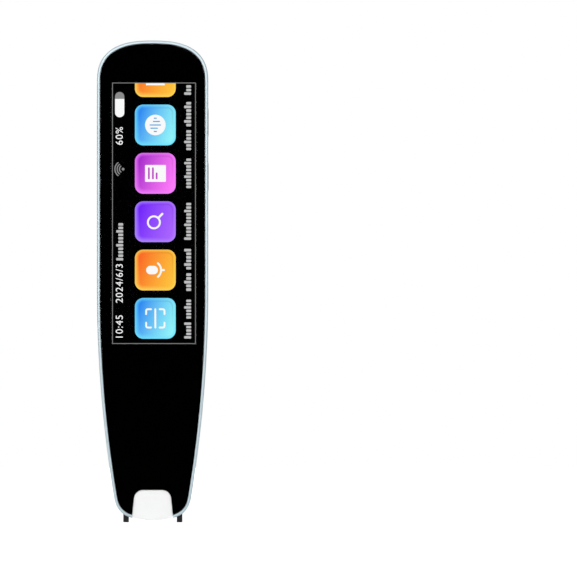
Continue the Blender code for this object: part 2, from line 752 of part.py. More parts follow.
def build_rear_cover():
    """The moulded black back: a rolled shell with openings for grille, keys, socket, nose and feet."""
    cover = housing_form("rear_cover", 0, COVER_FRONT, material("black_plastic", BLACK_PLASTIC, 0.45))
    cavity = housing_form("cover_cavity", COVER_WALL, COVER_FRONT - OVERRUN)
    cut(cavity, notch_tool("cover_notch_wall", NOTCH_WALL, FRONT - OVERRUN, BACK + OVERRUN))
    cut(
        cover,
        cavity,
        notch_tool("cover_notch", 0, FRONT - OVERRUN, BACK + OVERRUN),
        light_window("cover_light_window"),
        rod(
            "grille_recess",
            (0, GRILLE_BACK - FIT, SPEAKER_Z),
            (0, BACK + OVERRUN, SPEAKER_Z),
            GRILLE_RADIUS + GRILLE_GROOVE,
            sides=GRILLE_SIDES,
        ),
        rod(
            "speaker_opening",
            (0, COVER_INSIDE - OVERRUN, SPEAKER_Z),
            (0, BACK + OVERRUN, SPEAKER_Z),
            GRILLE_RADIUS - GRILLE_SEAT,
            sides=GRILLE_SIDES,
        ),
        rod(
            "mic_pinhole",
            (HALF_WIDTH - OVERRUN, ON_BOARD + MIC_SIZE[1] / 2, MIC_Z),
            (HALF_WIDTH + OVERRUN, ON_BOARD + MIC_SIZE[1] / 2, MIC_Z),
            MIC_HOLE_RADIUS,
            sides=SMALL_SIDES,
        ),
        socket_opening(),
        nose_plate_form("nose_plate_recess", -NOSE_PLATE_GAP, NOSE_PLATE_THICKNESS + NOSE_PLATE_GAP),
    )
    for name, z in KEYS:
        cut(cover, key_prism(name + "_opening", z, KEY_CLEARANCE, HALF_WIDTH - OVERRUN))
    for side, x in SIDES:
        cut(cover, leg_slot(side, x * FOOT_SPACING / 2))
    return cover


def nose_plate_form(name, shrink, depth, finish=None):
    """A plate above the notch that follows the back, this much smaller and this deep."""
    wide = NOSE_PLATE_WIDTH / 2 - shrink
    foot = NOTCH_TOP + NOSE_PLATE_RAISE
    recess = NOSE_PLATE_RECESS if finish else -OVERRUN
    form = block(
        name,
        (-wide, 0, foot + shrink),
        (wide, BACK + 2 * OVERRUN, foot + NOSE_PLATE_HEIGHT - shrink),
        finish,
    )
    if finish:
        keep_inside(form, housing_form(name + "_skin", recess, COVER_FRONT))
    return cut(form, housing_form(name + "_floor", NOSE_PLATE_RECESS + depth, COVER_FRONT))


def build_nose_plate():
    """The small trim plate between the notch and the body's back."""
    return nose_plate_form("nose_plate", 0, NOSE_PLATE_THICKNESS, material("trim_black", TRIM_BLACK, 0.4))


def build_grille():
    """The round speaker grille: a flat disc with three rings of holes."""
    holes = []
    for radius, count in zip(GRILLE_RING_RADII, GRILLE_RING_COUNTS):
        for x, z in circle(radius, count):
            holes.append(circle(GRILLE_HOLE_RADIUS, GRILLE_HOLE_SIDES, (x, z)))
    rings = [circle(GRILLE_RADIUS, GRILLE_SIDES)] + holes
    finish = material("black_plastic", BLACK_PLASTIC, 0.45)
    return prism("speaker_grille", rings, GRILLE_BACK, BACK, finish=finish, place=(0, SPEAKER_Z))


def build_speaker():
    """Behind the grille: dust mesh, gasket, basket with its magnet, and cone."""
    opening = GRILLE_RADIUS - GRILLE_SEAT
    rod(
        "dust_mesh",
        (0, GRILLE_BACK - FIT - MESH_THICKNESS, SPEAKER_Z),
        (0, GRILLE_BACK - FIT, SPEAKER_Z),
        opening - SMALL_FIT,
        material("mesh_black", KEY_BLACK, 0.8),
        sides=GRILLE_SIDES,
    )
    gasket = circle(DRIVER_RADIUS, GRILLE_SIDES), circle(DRIVER_RADIUS - GASKET_WIDTH, GRILLE_SIDES)
    foam = material("foam_grey", FOAM_GREY, 0.9)
    prism("speaker_gasket", gasket, GASKET_BACK - GASKET_THICKNESS, GASKET_BACK, "Y", foam, (0, SPEAKER_Z))
    cavity = DRIVER_RADIUS - DRIVER_RIM
    basket = [
        (0, -DRIVER_DEPTH + DRIVER_WALL),
        (cavity, -DRIVER_DEPTH + DRIVER_WALL),
        (cavity, 0),
        (DRIVER_RADIUS, 0),
        (DRIVER_RADIUS, -DRIVER_DEPTH),
        (MAGNET_RADIUS, -DRIVER_DEPTH),
        (MAGNET_RADIUS, -DRIVER_DEPTH - MAGNET_DROP),
        (0, -DRIVER_DEPTH - MAGNET_DROP),
    ]
    place = (0, DRIVER_FACE, SPEAKER_Z)
    turned("speaker_basket", basket, place, (0, 1, 0), material("steel", STEEL, 0.35, metallic=1.0))
    edge = cavity - SMALL_FIT
    low = -CONE_THICKNESS - CONE_DEPTH
    skin = [(0, low + CONE_DEPTH / 2), (CONE_DOME_RADIUS, low), (edge - CONE_DEPTH, 0), (edge, 0)]
    under = [(radius, height - CONE_THICKNESS) for radius, height in reversed(skin)]
    turned("speaker_cone", skin + under, place, (0, 1, 0), material("cone_grey", CONE_GREY, 0.6))


def key_prism(name, z, grow, inner, finish=None):
    """A key's round-ended form along X, grown by a clearance, from an inner plane outwards."""
    outline_points = stadium(KEY_LENGTH + 2 * grow, KEY_WIDTH + 2 * grow, KEY_END_STEPS)
    outer = HALF_WIDTH + OVERRUN
    return prism(name, [outline_points], inner, outer, "X", finish, (KEY_BEHIND_MIDDLE, z))


def build_key(name, z):
    """A side key: its cap follows the flank, and a flange inside keeps it in. Its plunger moves too."""
    black = material("key_black", KEY_BLACK, 0.35)
    key = key_prism(name, z, 0, FLANGE_INNER + KEY_FLANGE_THICKNESS / 2, black)
    keep_inside(key, housing_form(name + "_skin", -KEY_PROUD, COVER_FRONT))
    flange = block(
        name + "_flange",
        (FLANGE_INNER, KEY_BEHIND_MIDDLE - KEY_FLANGE_WIDTH / 2, z - KEY_FLANGE_LENGTH / 2),
        (FLANGE_OUTER, KEY_BEHIND_MIDDLE + KEY_FLANGE_WIDTH / 2, z + KEY_FLANGE_LENGTH / 2),
    )
    join(key, flange)
    inner = (SWITCH_OUTER - PLUNGER_SUNK, SWITCH_MIDDLE, z)
    outer = (FLANGE_INNER - PLUNGER_CLEARANCE, SWITCH_MIDDLE, z)
    plunger = rod(name + "_plunger", inner, outer, PLUNGER_RADIUS, black, SMALL_SIDES)
    slide(name + "_slide", (HALF_WIDTH, KEY_BEHIND_MIDDLE, z), (key, plunger))


def build_key_switch(name, z):
    """The side-push switch on the board's edge, bored for the key's plunger."""
    low = (SWITCH_OUTER - SWITCH_DEPTH, ON_BOARD, z - SWITCH_LENGTH / 2)
    high = (SWITCH_OUTER, ON_BOARD + SWITCH_WIDTH, z + SWITCH_LENGTH / 2)
    switch = block(name + "_switch", low, high, material("steel", STEEL, 0.35, metallic=1.0))
    bore = PLUNGER_RADIUS + PLUNGER_CLEARANCE
    deep = (SWITCH_OUTER - PLUNGER_SUNK - KEY_TRAVEL - FIT, SWITCH_MIDDLE, z)
    mouth = (SWITCH_OUTER + OVERRUN, SWITCH_MIDDLE, z)
    return cut(switch, rod(name + "_bore", deep, mouth, bore, sides=SMALL_SIDES))


def leg_outline(x, width, foot, top):
    """A leg seen from the back: square at its foot and round at its top."""
    reach = width / 2
    points = [(x - reach, foot), (x + reach, foot)]
    for step in range(LEG_END_STEPS + 1):
        angle = math.pi * step / LEG_END_STEPS
        points.append((x + reach * math.cos(angle), top - reach + reach * math.sin(angle)))
    return points


def leg_slot(side, x):
    """The slot in the rear cover that a leg lies in, long enough for the leg's travel."""
    width = LEG_WIDTH + 2 * LEG_CLEARANCE
    top = LEG_TOP + TRIGGER_TRAVEL + LEG_CLEARANCE
    points = leg_outline(x, width, NOSE_LIFT - OVERRUN, top)
    return prism(side + "_leg_slot", [points], LEG_FRONT - LEG_CLEARANCE, BACK + OVERRUN)


def build_scan_trigger():
    """One moulding: a yoke inside the nose and two legs that end in the feet, with spring pegs."""
    outer = (FOOT_SPACING + YOKE_LEG_WIDTH) / 2
    inner = outer - YOKE_LEG_WIDTH
    foot = (LEG_FOOT + LEG_TOP) / 2
    arch = [
        (outer, foot),
        (outer, YOKE_TOP),
        (-outer, YOKE_TOP),
        (-outer, foot),
        (-inner, foot),
        (-inner, YOKE_FOOT),
        (inner, YOKE_FOOT),
        (inner, foot),
    ]
    back = YOKE_FRONT + YOKE_THICKNESS
    trigger = prism("scan_trigger", [arch], YOKE_FRONT, back, finish=material("foot_grey", FOOT_GREY, 0.4))
    skin = housing_form("leg_skin", LEG_RECESS, COVER_FRONT)
    for side, sign in SIDES:
        x = sign * FOOT_SPACING / 2
        leg = prism(side + "_leg", [leg_outline(x, LEG_WIDTH, LEG_FOOT, LEG_TOP)], LEG_FRONT, BACK)
        keep_inside(leg, skin)
        low = (x - FOOT_WIDTH / 2, FOOT_FRONT, 0)
        high = (x + FOOT_WIDTH / 2, FOOT_FRONT + FOOT_DEPTH, foot)
        shoe = block(side + "_shoe", low, high, round_edge=FOOT_EDGE_ROUND)
        peg_x = sign * SPRING_SPACING / 2
        start = (peg_x, YOKE_MIDDLE, YOKE_TOP - YOKE_HEIGHT / 2)
        end = (peg_x, YOKE_MIDDLE, YOKE_TOP + PEG_HEIGHT)
        join(trigger, leg, shoe, rod(side + "_peg", start, end, PEG_RADIUS, sides=SMALL_SIDES))
    start = (0, YOKE_MIDDLE, YOKE_TOP + PLUNGER_CLEARANCE)
    end = (0, YOKE_MIDDLE, TRIGGER_SWITCH_FOOT + PLUNGER_SUNK)
    black = material("key_black", KEY_BLACK, 0.35)
    plunger = rod("scan_trigger_plunger", start, end, PLUNGER_RADIUS, black, SMALL_SIDES)
    slide("scan_trigger_slide", (0, YOKE_MIDDLE, YOKE_FOOT), (trigger, plunger))


def build_return_spring(side, sign):
    """A compression spring between the yoke and the bracket."""
    foot = YOKE_TOP + FIT
    rise = BRACKET_FOOT - FIT - foot
    curve = bpy.data.curves.new(side + "_return_spring", "CURVE")
    curve.dimensions = "3D"
    curve.bevel_depth = SPRING_WIRE_RADIUS
    curve.bevel_resolution = 1
    curve.use_fill_caps = True
    spline = curve.splines.new("POLY")
    count = SPRING_TURNS * SPRING_POINTS_A_TURN
    spline.points.add(count)
    for step, point in enumerate(spline.points):
        angle = math.tau * step / SPRING_POINTS_A_TURN
        height = foot + SPRING_WIRE_RADIUS + (rise - 2 * SPRING_WIRE_RADIUS) * step / count
        point.co = (SPRING_RADIUS * math.cos(angle), SPRING_RADIUS * math.sin(angle), height, 1)
    spring = add(curve.name, curve, material("steel", STEEL, 0.35, metallic=1.0))
    spring.location = (sign * SPRING_SPACING / 2, YOKE_MIDDLE, 0)
    return spring


def build_trigger_switch():
    """The switch that the yoke's plunger works, hung under the bracket."""
    low = (-TRIGGER_SWITCH_WIDTH / 2, YOKE_MIDDLE - TRIGGER_SWITCH_DEPTH / 2, TRIGGER_SWITCH_FOOT)
    high = (-low[0], YOKE_MIDDLE + TRIGGER_SWITCH_DEPTH / 2, TRIGGER_SWITCH_FOOT + TRIGGER_SWITCH_HEIGHT)
    switch = block("trigger_switch", low, high, material("key_black", KEY_BLACK, 0.35))
    mouth = (0, YOKE_MIDDLE, TRIGGER_SWITCH_FOOT - OVERRUN)
    deep = (0, YOKE_MIDDLE, TRIGGER_SWITCH_FOOT + PLUNGER_SUNK + TRIGGER_TRAVEL + FIT)
    bore = rod("trigger_bore", mouth, deep, PLUNGER_RADIUS + PLUNGER_CLEARANCE, sides=SMALL_SIDES)
    return cut(switch, bore)


def build_trigger_bracket():
    """The angle bracket over the yoke: two ears screw to the chassis, and the springs bear on it."""
    front = CHASSIS_BACK + FIT
    angle = [
        (front, BRACKET_FOOT),
        (front + BRACKET_DEPTH, BRACKET_FOOT),
        (front + BRACKET_DEPTH, BRACKET_TOP),
        (front + BRACKET_THICKNESS, BRACKET_TOP),
        (front + BRACKET_THICKNESS, BRACKET_FOOT + EAR_HEIGHT),
        (front, BRACKET_FOOT + EAR_HEIGHT),
    ]
    metal = material("steel", STEEL, 0.35, metallic=1.0)
    reach = BRACKET_WIDTH / 2
    bracket = prism("trigger_bracket", [angle], -reach, reach, "X", metal)
    gap = reach - EAR_WIDTH
    low = (-gap, front - OVERRUN, BRACKET_TOP)
    high = (gap, front + OVERRUN, BRACKET_FOOT + EAR_HEIGHT + OVERRUN)
    cut(bracket, block("ear_gap", low, high))
    for side, sign in SIDES:
        cut(bracket, screw_hole(side + "_ear_hole", sign * EAR_SCREW_X, EAR_SCREW_Z))
    return bracket


def screw_hole(name, x, z):
    """A clearance hole for a screw, through everything at its place."""
    start, end = (x, FRONT, z), (x, BACK, z)
    return rod(name, start, end, SCREW_RADIUS + SCREW_CLEARANCE, sides=SMALL_SIDES)


def build_screw(name, x, seat, z):
    """A small pan-head screw that ends inside the chassis plate."""
    head = SCREW_HEAD_HEIGHT
    tip = CHASSIS_FRONT + CHASSIS_THICKNESS / 4 - seat
    profile = [
        (0, head / 2),
        (SCREW_RECESS_RADIUS, head),
        (SCREW_HEAD_FLAT_RADIUS, head),
        (SCREW_HEAD_RADIUS, head / 2),
        (SCREW_HEAD_RADIUS, 0),
        (SCREW_RADIUS, 0),
        (SCREW_RADIUS, tip),
        (0, tip),
    ]
    metal = material("steel", STEEL, 0.35, metallic=1.0)
    return turned(name, profile, (x, seat, z), (0, 1, 0), metal, SMALL_SIDES)


def build_screws():
    """Four screws hold the main board to the chassis posts, and two hold the bracket's ears."""
    for side, sign in SIDES:
        x = sign * BOARD_SCREW_X
        for level, z in zip(("lower", "upper"), SCREW_ROWS):
            build_screw("_".join((level, side, "board_screw")), x, ON_BOARD, z)
        ear_seat = CHASSIS_BACK + BRACKET_THICKNESS + 2 * FIT
        build_screw(side + "_ear_screw", sign * EAR_SCREW_X, ear_seat, EAR_SCREW_Z)


def build_camera():
    """The scan camera, looking down at the paper: barrel, lens, holder and sensor board."""
    black = material("key_black", KEY_BLACK, 0.35)
    bore = LENS_RADIUS + SMALL_FIT
    floor = BARREL_LENGTH - LENS_SUNK - 2 * LENS_CROWN - FIT
    slim = BARREL_RADIUS - BARREL_STEP
    step = BARREL_LENGTH / 2
    profile = [
        (0, floor),
        (bore, floor),
        (bore, BARREL_LENGTH),
        (slim, BARREL_LENGTH),
        (slim, step),
        (BARREL_RADIUS, step),
        (BARREL_RADIUS, 0),
        (0, 0),
    ]
    turned("camera_barrel", profile, (0, CAMERA_AXIS, HOLDER_FOOT), (0, 0, -1), black)
    dome = []
    for index in range(LENS_STEPS):
        share = index / LENS_STEPS
        dome.append((LENS_RADIUS * share, LENS_CROWN * (2 - share**2)))
    dome += [(LENS_RADIUS, LENS_CROWN), (LENS_RADIUS, 0), (0, 0)]
    glass = material("lens_blue", LENS_BLUE, 0.05)
    lens_back = CAMERA_FOOT + LENS_SUNK + 2 * LENS_CROWN
    turned("camera_lens", dome, (0, CAMERA_AXIS, lens_back), (0, 0, -1), glass)
    low = (-HOLDER_WIDTH / 2, CAMERA_AXIS - HOLDER_DEPTH / 2, HOLDER_FOOT + BARREL_SEAT)
    high = (HOLDER_WIDTH / 2, CAMERA_AXIS + HOLDER_DEPTH / 2, HOLDER_FOOT + HOLDER_HEIGHT)
    block("camera_holder", low, high, black, CHIP_EDGE_ROUND)
    low = (-SENSOR_BOARD_WIDTH / 2, CAMERA_AXIS - SENSOR_BOARD_DEPTH / 2, SENSOR_BOARD_TOP - THIN_BOARD)
    high = (SENSOR_BOARD_WIDTH / 2, CAMERA_AXIS + SENSOR_BOARD_DEPTH / 2, SENSOR_BOARD_TOP)
    block("sensor_board", low, high, material("board_green", BOARD_GREEN, 0.5))


def build_lamps():
    """Two lamps beside the lens light the paper, under a small board that the barrel goes through."""
    low = (-LAMP_BOARD_WIDTH / 2, CAMERA_AXIS - LAMP_BOARD_DEPTH / 2, LAMP_BOARD_FOOT)
    high = (LAMP_BOARD_WIDTH / 2, CAMERA_AXIS + LAMP_BOARD_DEPTH / 2, LAMP_BOARD_FOOT + THIN_BOARD)
    board = block("lamp_board", low, high, material("board_green", BOARD_GREEN, 0.5))
    start, end = (0, CAMERA_AXIS, CAMERA_FOOT), (0, CAMERA_AXIS, HOLDER_FOOT)
    cut(board, rod("barrel_hole", start, end, BARREL_RADIUS - BARREL_STEP + LAMP_BOARD_FIT))
    top = LAMP_BOARD_FOOT - FIT
    for side, sign in SIDES:
        x = sign * LAMP_SPACING / 2
        low = (x - LAMP_SIZE / 2, CAMERA_AXIS - LAMP_SIZE / 2, top - LAMP_HEIGHT)
        high = (x + LAMP_SIZE / 2, CAMERA_AXIS + LAMP_SIZE / 2, top)
        block(side + "_lamp", low, high, material("lamp_white", LAMP_WHITE, 0.3))


def build_nose():
    """The clear hood in the notch, open to the paper, with its front window and centre mark."""
    window_front = FRONT + HOOD_RECESS
    window_back = window_front + HOOD_WALL
    frosted = material("frosted", FROSTED, 0.35, alpha=0.7)
    prism("nose_window", [hood_outline()], window_front, window_back, finish=frosted)
    hood_front = window_back + HOOD_FIT
    clear = material("clear_plastic", CLEAR, 0.05, alpha=0.3)
    hood = prism("nose_hood", [hood_outline()], hood_front, BACK, finish=clear)
    keep_inside(hood, housing_form("hood_skin", HOOD_RECESS, FRONT))
    hollow = prism("hood_hollow", [hood_hollow_outline()], hood_front - OVERRUN, BACK)
    keep_inside(hollow, housing_form("hood_inner_skin", HOOD_RECESS + HOOD_WALL, FRONT - 2 * OVERRUN))
    slot_reach = NOTCH_HEAD_WIDTH / 2 - HOOD_WALL
    low = (-slot_reach, hood_front + HOOD_WALL, NOSE_LIFT - OVERRUN)
    high = (slot_reach, hood_front + HOOD_WALL + SCAN_SLOT_DEPTH, NOSE_LIFT + CHIN_HEIGHT / 2)
    scan_slot = block("scan_slot", low, high)
    low = (-MARK_WIDTH / 2, 0, NOSE_LIFT - OVERRUN)
    high = (MARK_WIDTH / 2, BACK + OVERRUN, NOSE_LIFT + MARK_HEIGHT)
    groove = block("mark_groove", low, high)
    cut(groove, housing_form("mark_floor", HOOD_RECESS + MARK_DEPTH, FRONT))
    return cut(hood, hollow, scan_slot, groove)


def hood_hollow_outline():
    """The room inside the hood: the notch less the hood's fit and wall."""
    return notch_outline(-HOOD_FIT - HOOD_WALL, NOSE_LIFT - OVERRUN)


def build_screen():
    """The strip screen behind the glass, and the flex that folds from it over the chassis."""
    reach = HALF_WIDTH - LEDGE_INSET - SCREEN_SIDE_MARGIN
    low = (SCREEN_OFFSET - reach, SCREEN_FRONT, SCREEN_FOOT)
    high = (SCREEN_OFFSET + reach, SCREEN_BACK, SCREEN_TOP)
    block("screen_module", low, high, material("screen_grey", SCREEN_GREY, 0.3), SCREEN_EDGE_ROUND)
    near = (SCREEN_FRONT + SCREEN_BACK) / 2
    far = BOARD_FRONT - FIT
    bend = SCREEN_TOP + FIT + FLEX_RISE
    path = [(near, SCREEN_TOP + FIT)]
    for step in range(FLEX_BEND_STEPS + 1):
        angle = math.pi * step / FLEX_BEND_STEPS
        y = (near + far) / 2 - (far - near) / 2 * math.cos(angle)
        path.append((y, bend + (far - near) / 2 * math.sin(angle)))
    path.append((far, bend - FLEX_TAIL))
    bm = bmesh.new()
    edges = [[bm.verts.new((x, y, z)) for y, z in path] for x in (-FLEX_WIDTH / 2, FLEX_WIDTH / 2)]
    for left, right in zip(zip(*edges), list(zip(*edges))[1:]):
        bm.faces.new((left[0], left[1], right[1], right[0]))
    flex = from_bmesh("screen_flex", bm, material("copper_film", COPPER, 0.45))
    solid = flex.modifiers.new("film", "SOLIDIFY")
    solid.thickness = FLEX_THICKNESS
    solid.offset = 0
    solid.use_even_offset = True


def build_chassis():
    """The middle plate that stiffens the pen, with the posts that the board is screwed to."""
    outline_points = band(CHASSIS_INSET, BRACKET_FOOT, CHASSIS_TOP)
    grey = material("chassis_grey", CHASSIS_GREY, 0.5, metallic=0.6)
    chassis = prism("chassis_plate", [outline_points], CHASSIS_FRONT, CHASSIS_BACK, finish=grey)
    holes = []
    for side, sign in SIDES:
        x = sign * BOARD_SCREW_X
        for level, z in zip(("lower", "upper"), SCREW_ROWS):
            name = "_".join((level, side))
            start, end = (x, CHASSIS_BACK - CHASSIS_THICKNESS / 2, z), (x, CHASSIS_BACK + POST_HEIGHT, z)
            join(chassis, rod(name + "_post", start, end, POST_RADIUS, sides=SMALL_SIDES))
            holes.append(screw_hole(name + "_post_bore", x, z))
        holes.append(screw_hole(side + "_ear_bore", sign * EAR_SCREW_X, EAR_SCREW_Z))
    return cut(chassis, *holes)


def build_main_board():
    """The main board with its processor shield and memory chip, and the flex from the scan camera."""
    holes = [
        circle(SCREW_RADIUS + SCREW_CLEARANCE, SMALL_SIDES, (sign * BOARD_SCREW_X, z))
        for _, sign in SIDES
        for z in SCREW_ROWS
    ]
    rings = [band(HALF_WIDTH - SWITCH_OUTER, BOARD_FOOT, BOARD_TOP)] + holes
    green = material("board_green", BOARD_GREEN, 0.5)
    prism("main_board", rings, BOARD_FRONT, BOARD_BACK, finish=green)
    steel = material("steel", STEEL, 0.35, metallic=1.0)
    on_board("processor_shield", SHIELD_SIZE, BOARD_FOOT + SHIELD_ABOVE_FOOT, steel)
    black = material("key_black", KEY_BLACK, 0.35)
    on_board("memory_chip", MEMORY_SIZE, BOARD_FOOT + MEMORY_ABOVE_FOOT, black)
    low = (-SCAN_FLEX_WIDTH / 2, CHASSIS_BACK + FIT, BRACKET_TOP + FIT)
    high = (SCAN_FLEX_WIDTH / 2, CHASSIS_BACK + FIT + FLEX_THICKNESS, BOARD_FOOT + SCAN_FLEX_LAP)
    block("scan_flex", low, high, material("copper_film", COPPER, 0.45))


def on_board(name, size, foot, finish):
    """A flat part that sits on the back of the main board, on the middle line."""
    low = (-size[0] / 2, ON_BOARD, foot)
    high = (size[0] / 2, ON_BOARD + size[1], foot + size[2])
    return block(name, low, high, finish, CHIP_EDGE_ROUND)


def build_microphone():
    """The microphone behind its pinhole, on the board's edge."""
    outer = flank_reach(COVER_WALL, ON_BOARD + MIC_SIZE[1]) - FIT
    low = (outer - MIC_SIZE[0], ON_BOARD, MIC_Z - MIC_SIZE[2] / 2)
    high = (outer, ON_BOARD + MIC_SIZE[1], MIC_Z + MIC_SIZE[2] / 2)
    return block("microphone", low, high, material("steel", STEEL, 0.35, metallic=1.0))


def lying_stadium(width, height):
    """A slot's outline that is long along the first axis."""
    return [(across, along) for along, across in stadium(width, height, SOCKET_END_STEPS)]


def socket_opening():
    """The opening in the crown for the charging plug."""
    gap = 2 * SOCKET_CLEARANCE
    rings = [lying_stadium(SOCKET_WIDTH + gap, SOCKET_HEIGHT + gap)]
    return prism("socket_opening", rings, SOCKET_TOP - OVERRUN, LENGTH + OVERRUN, "Z", None, (0, SOCKET_Y))


def build_charging_socket():
    """The charging socket in the crown: a stamped shell round a contact tongue on its base."""
    foot = SOCKET_TOP - SOCKET_LENGTH
    metal = material("steel", STEEL, 0.35, metallic=1.0)
    thin = 2 * SOCKET_WALL
    shell = lying_stadium(SOCKET_WIDTH, SOCKET_HEIGHT)
    mouth = lying_stadium(SOCKET_WIDTH - thin, SOCKET_HEIGHT - thin)
    prism("charging_socket", [shell, mouth], foot, SOCKET_TOP, "Z", metal, (0, SOCKET_Y))
    gap = thin + 2 * SOCKET_CLEARANCE
    base = lying_stadium(SOCKET_WIDTH - gap, SOCKET_HEIGHT - gap)
    black = material("key_black", KEY_BLACK, 0.35)
    base_top = foot + SOCKET_BASE_LENGTH
    tongue = prism("socket_tongue", [base], foot, base_top, "Z", black, (0, SOCKET_Y))
    half_wide, half_thick = SOCKET_TONGUE_WIDTH / 2, SOCKET_TONGUE_THICKNESS / 2
    low = (-half_wide, SOCKET_Y - half_thick, (foot + base_top) / 2)
    high = (half_wide, SOCKET_Y + half_thick, SOCKET_TOP - SOCKET_TONGUE_SHORT)
    return join(tongue, block("tongue_blade", low, high))


def build_battery():
    """The pouch battery below the main board, with its protection board."""
    reach = HALF_WIDTH - BATTERY_SIDE_INSET
    front = CHASSIS_BACK + FLEX_THICKNESS + 2 * FIT
    low = (-reach, front, BATTERY_FOOT)
    high = (reach, COVER_INSIDE - BATTERY_BACK_CLEARANCE, BATTERY_TOP)
    block("battery", low, high, material("battery_silver", BATTERY_SILVER, 0.4), BATTERY_EDGE_ROUND)
    low = (-reach, front, BATTERY_TOP + FIT)
    high = (reach, front + CAP_DEPTH, BATTERY_TOP + FIT + CAP_HEIGHT)
    block("battery_board", low, high, material("board_green", BOARD_GREEN, 0.5))


def build_aerial():
    """The flat aerial on the inside of the rear cover, below the speaker."""
    top = SPEAKER_Z - GRILLE_RADIUS - AERIAL_BELOW_SPEAKER
    low = (-AERIAL_WIDTH / 2, COVER_INSIDE - FIT - AERIAL_THICKNESS, top - AERIAL_HEIGHT)
    high = (AERIAL_WIDTH / 2, COVER_INSIDE - FIT, top)
    return block("aerial", low, high, material("copper_film", COPPER, 0.45))


def settle_shading():
    """Apply the cuts and joins, and shade each piece so that flats are flat and round sides smooth."""
    graph = bpy.context.evaluated_depsgraph_get()
    pieces = [obj for obj in bpy.data.collections["scanning_pen"].objects if obj.type == "MESH"]
    meshes = [bpy.data.meshes.new_from_object(obj.evaluated_get(graph)) for obj in pieces]
    for obj, mesh in zip(pieces, meshes):
        obj.modifiers.clear()
        obj.data = mesh
        mesh.name = obj.name
        mesh.shade_smooth()
        mesh.set_sharp_from_angle(angle=SHARP_ANGLE)
        even = obj.modifiers.new("even_shading", "WEIGHTED_NORMAL")
        even.keep_sharp = True


def main():
    """Build the pen from the outside in."""
    clear_scene()
    build_glass()
    build_side_frame()
    build_rear_cover()
    build_nose_plate()
    build_nose()
    build_grille()
    build_speaker()
    for name, z in KEYS:
        build_key(name, z)
        build_key_switch(name, z)
    build_microphone()
    build_scan_trigger()
    for side, sign in SIDES:
        build_return_spring(side, sign)
    build_trigger_switch()
    build_trigger_bracket()
    build_camera()
    build_lamps()
    build_screen()
    build_chassis()
    build_main_board()
    build_charging_socket()
    build_battery()
    build_aerial()
    build_screws()
    settle_shading()


main()
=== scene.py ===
"""The finished look of the scanning pen: its outer pieces, finishes, screen picture and studio."""

import json
import logging
import math
from dataclasses import dataclass
from enum import Enum

import bmesh
import bpy
from mathutils import Matrix, Vector


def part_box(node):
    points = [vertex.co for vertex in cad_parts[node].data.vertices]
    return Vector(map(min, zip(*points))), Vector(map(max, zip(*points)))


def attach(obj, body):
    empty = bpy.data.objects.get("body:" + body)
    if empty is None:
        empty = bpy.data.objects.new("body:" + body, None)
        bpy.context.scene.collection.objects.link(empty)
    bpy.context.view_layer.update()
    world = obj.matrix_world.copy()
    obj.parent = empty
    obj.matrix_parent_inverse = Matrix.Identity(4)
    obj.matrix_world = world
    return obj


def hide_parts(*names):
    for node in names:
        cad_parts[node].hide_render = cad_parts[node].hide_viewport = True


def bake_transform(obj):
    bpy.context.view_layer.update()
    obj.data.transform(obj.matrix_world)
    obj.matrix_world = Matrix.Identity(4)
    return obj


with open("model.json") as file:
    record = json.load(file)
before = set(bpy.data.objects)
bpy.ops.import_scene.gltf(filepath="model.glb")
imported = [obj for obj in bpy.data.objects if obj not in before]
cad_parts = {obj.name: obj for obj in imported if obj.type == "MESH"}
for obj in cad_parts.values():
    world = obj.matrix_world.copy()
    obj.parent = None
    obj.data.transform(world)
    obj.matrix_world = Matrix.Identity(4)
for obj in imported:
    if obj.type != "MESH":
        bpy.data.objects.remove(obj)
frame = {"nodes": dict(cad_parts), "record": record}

Pair = tuple[float, float]
Triple = tuple[float, float, float]
Outline = list[Pair]
Ring = list[Triple]
Object = bpy.types.Object
Material = bpy.types.Material
Socket = bpy.types.NodeSocket

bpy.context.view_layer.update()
MM = 0.001
OVERRUN = 4.0 * MM
WELD = 0.0001 * MM
SHARP_ANGLE = math.radians(32)
ROUND_SHARE = 0.999
SHARPEST_CORNER = 0.3
SIDES = (("left", -1), ("right", 1))

log = logging.getLogger("scanning_pen")


# Colours

def shown(red: float, green: float, blue: float) -> Triple:
    """Turn a colour given in display steps into linear light.

    Args:
        red: The red step, from 0 to 255.
        green: The green step, from 0 to 255.
        blue: The blue step, from 0 to 255.

    Returns:
        The three linear values.
    """
    shares = [step / 255 for step in (red, green, blue)]
    return tuple(s / 12.92 if s <= 0.04045 else ((s + 0.055) / 1.055) ** 2.4 for s in shares)


# Node trees

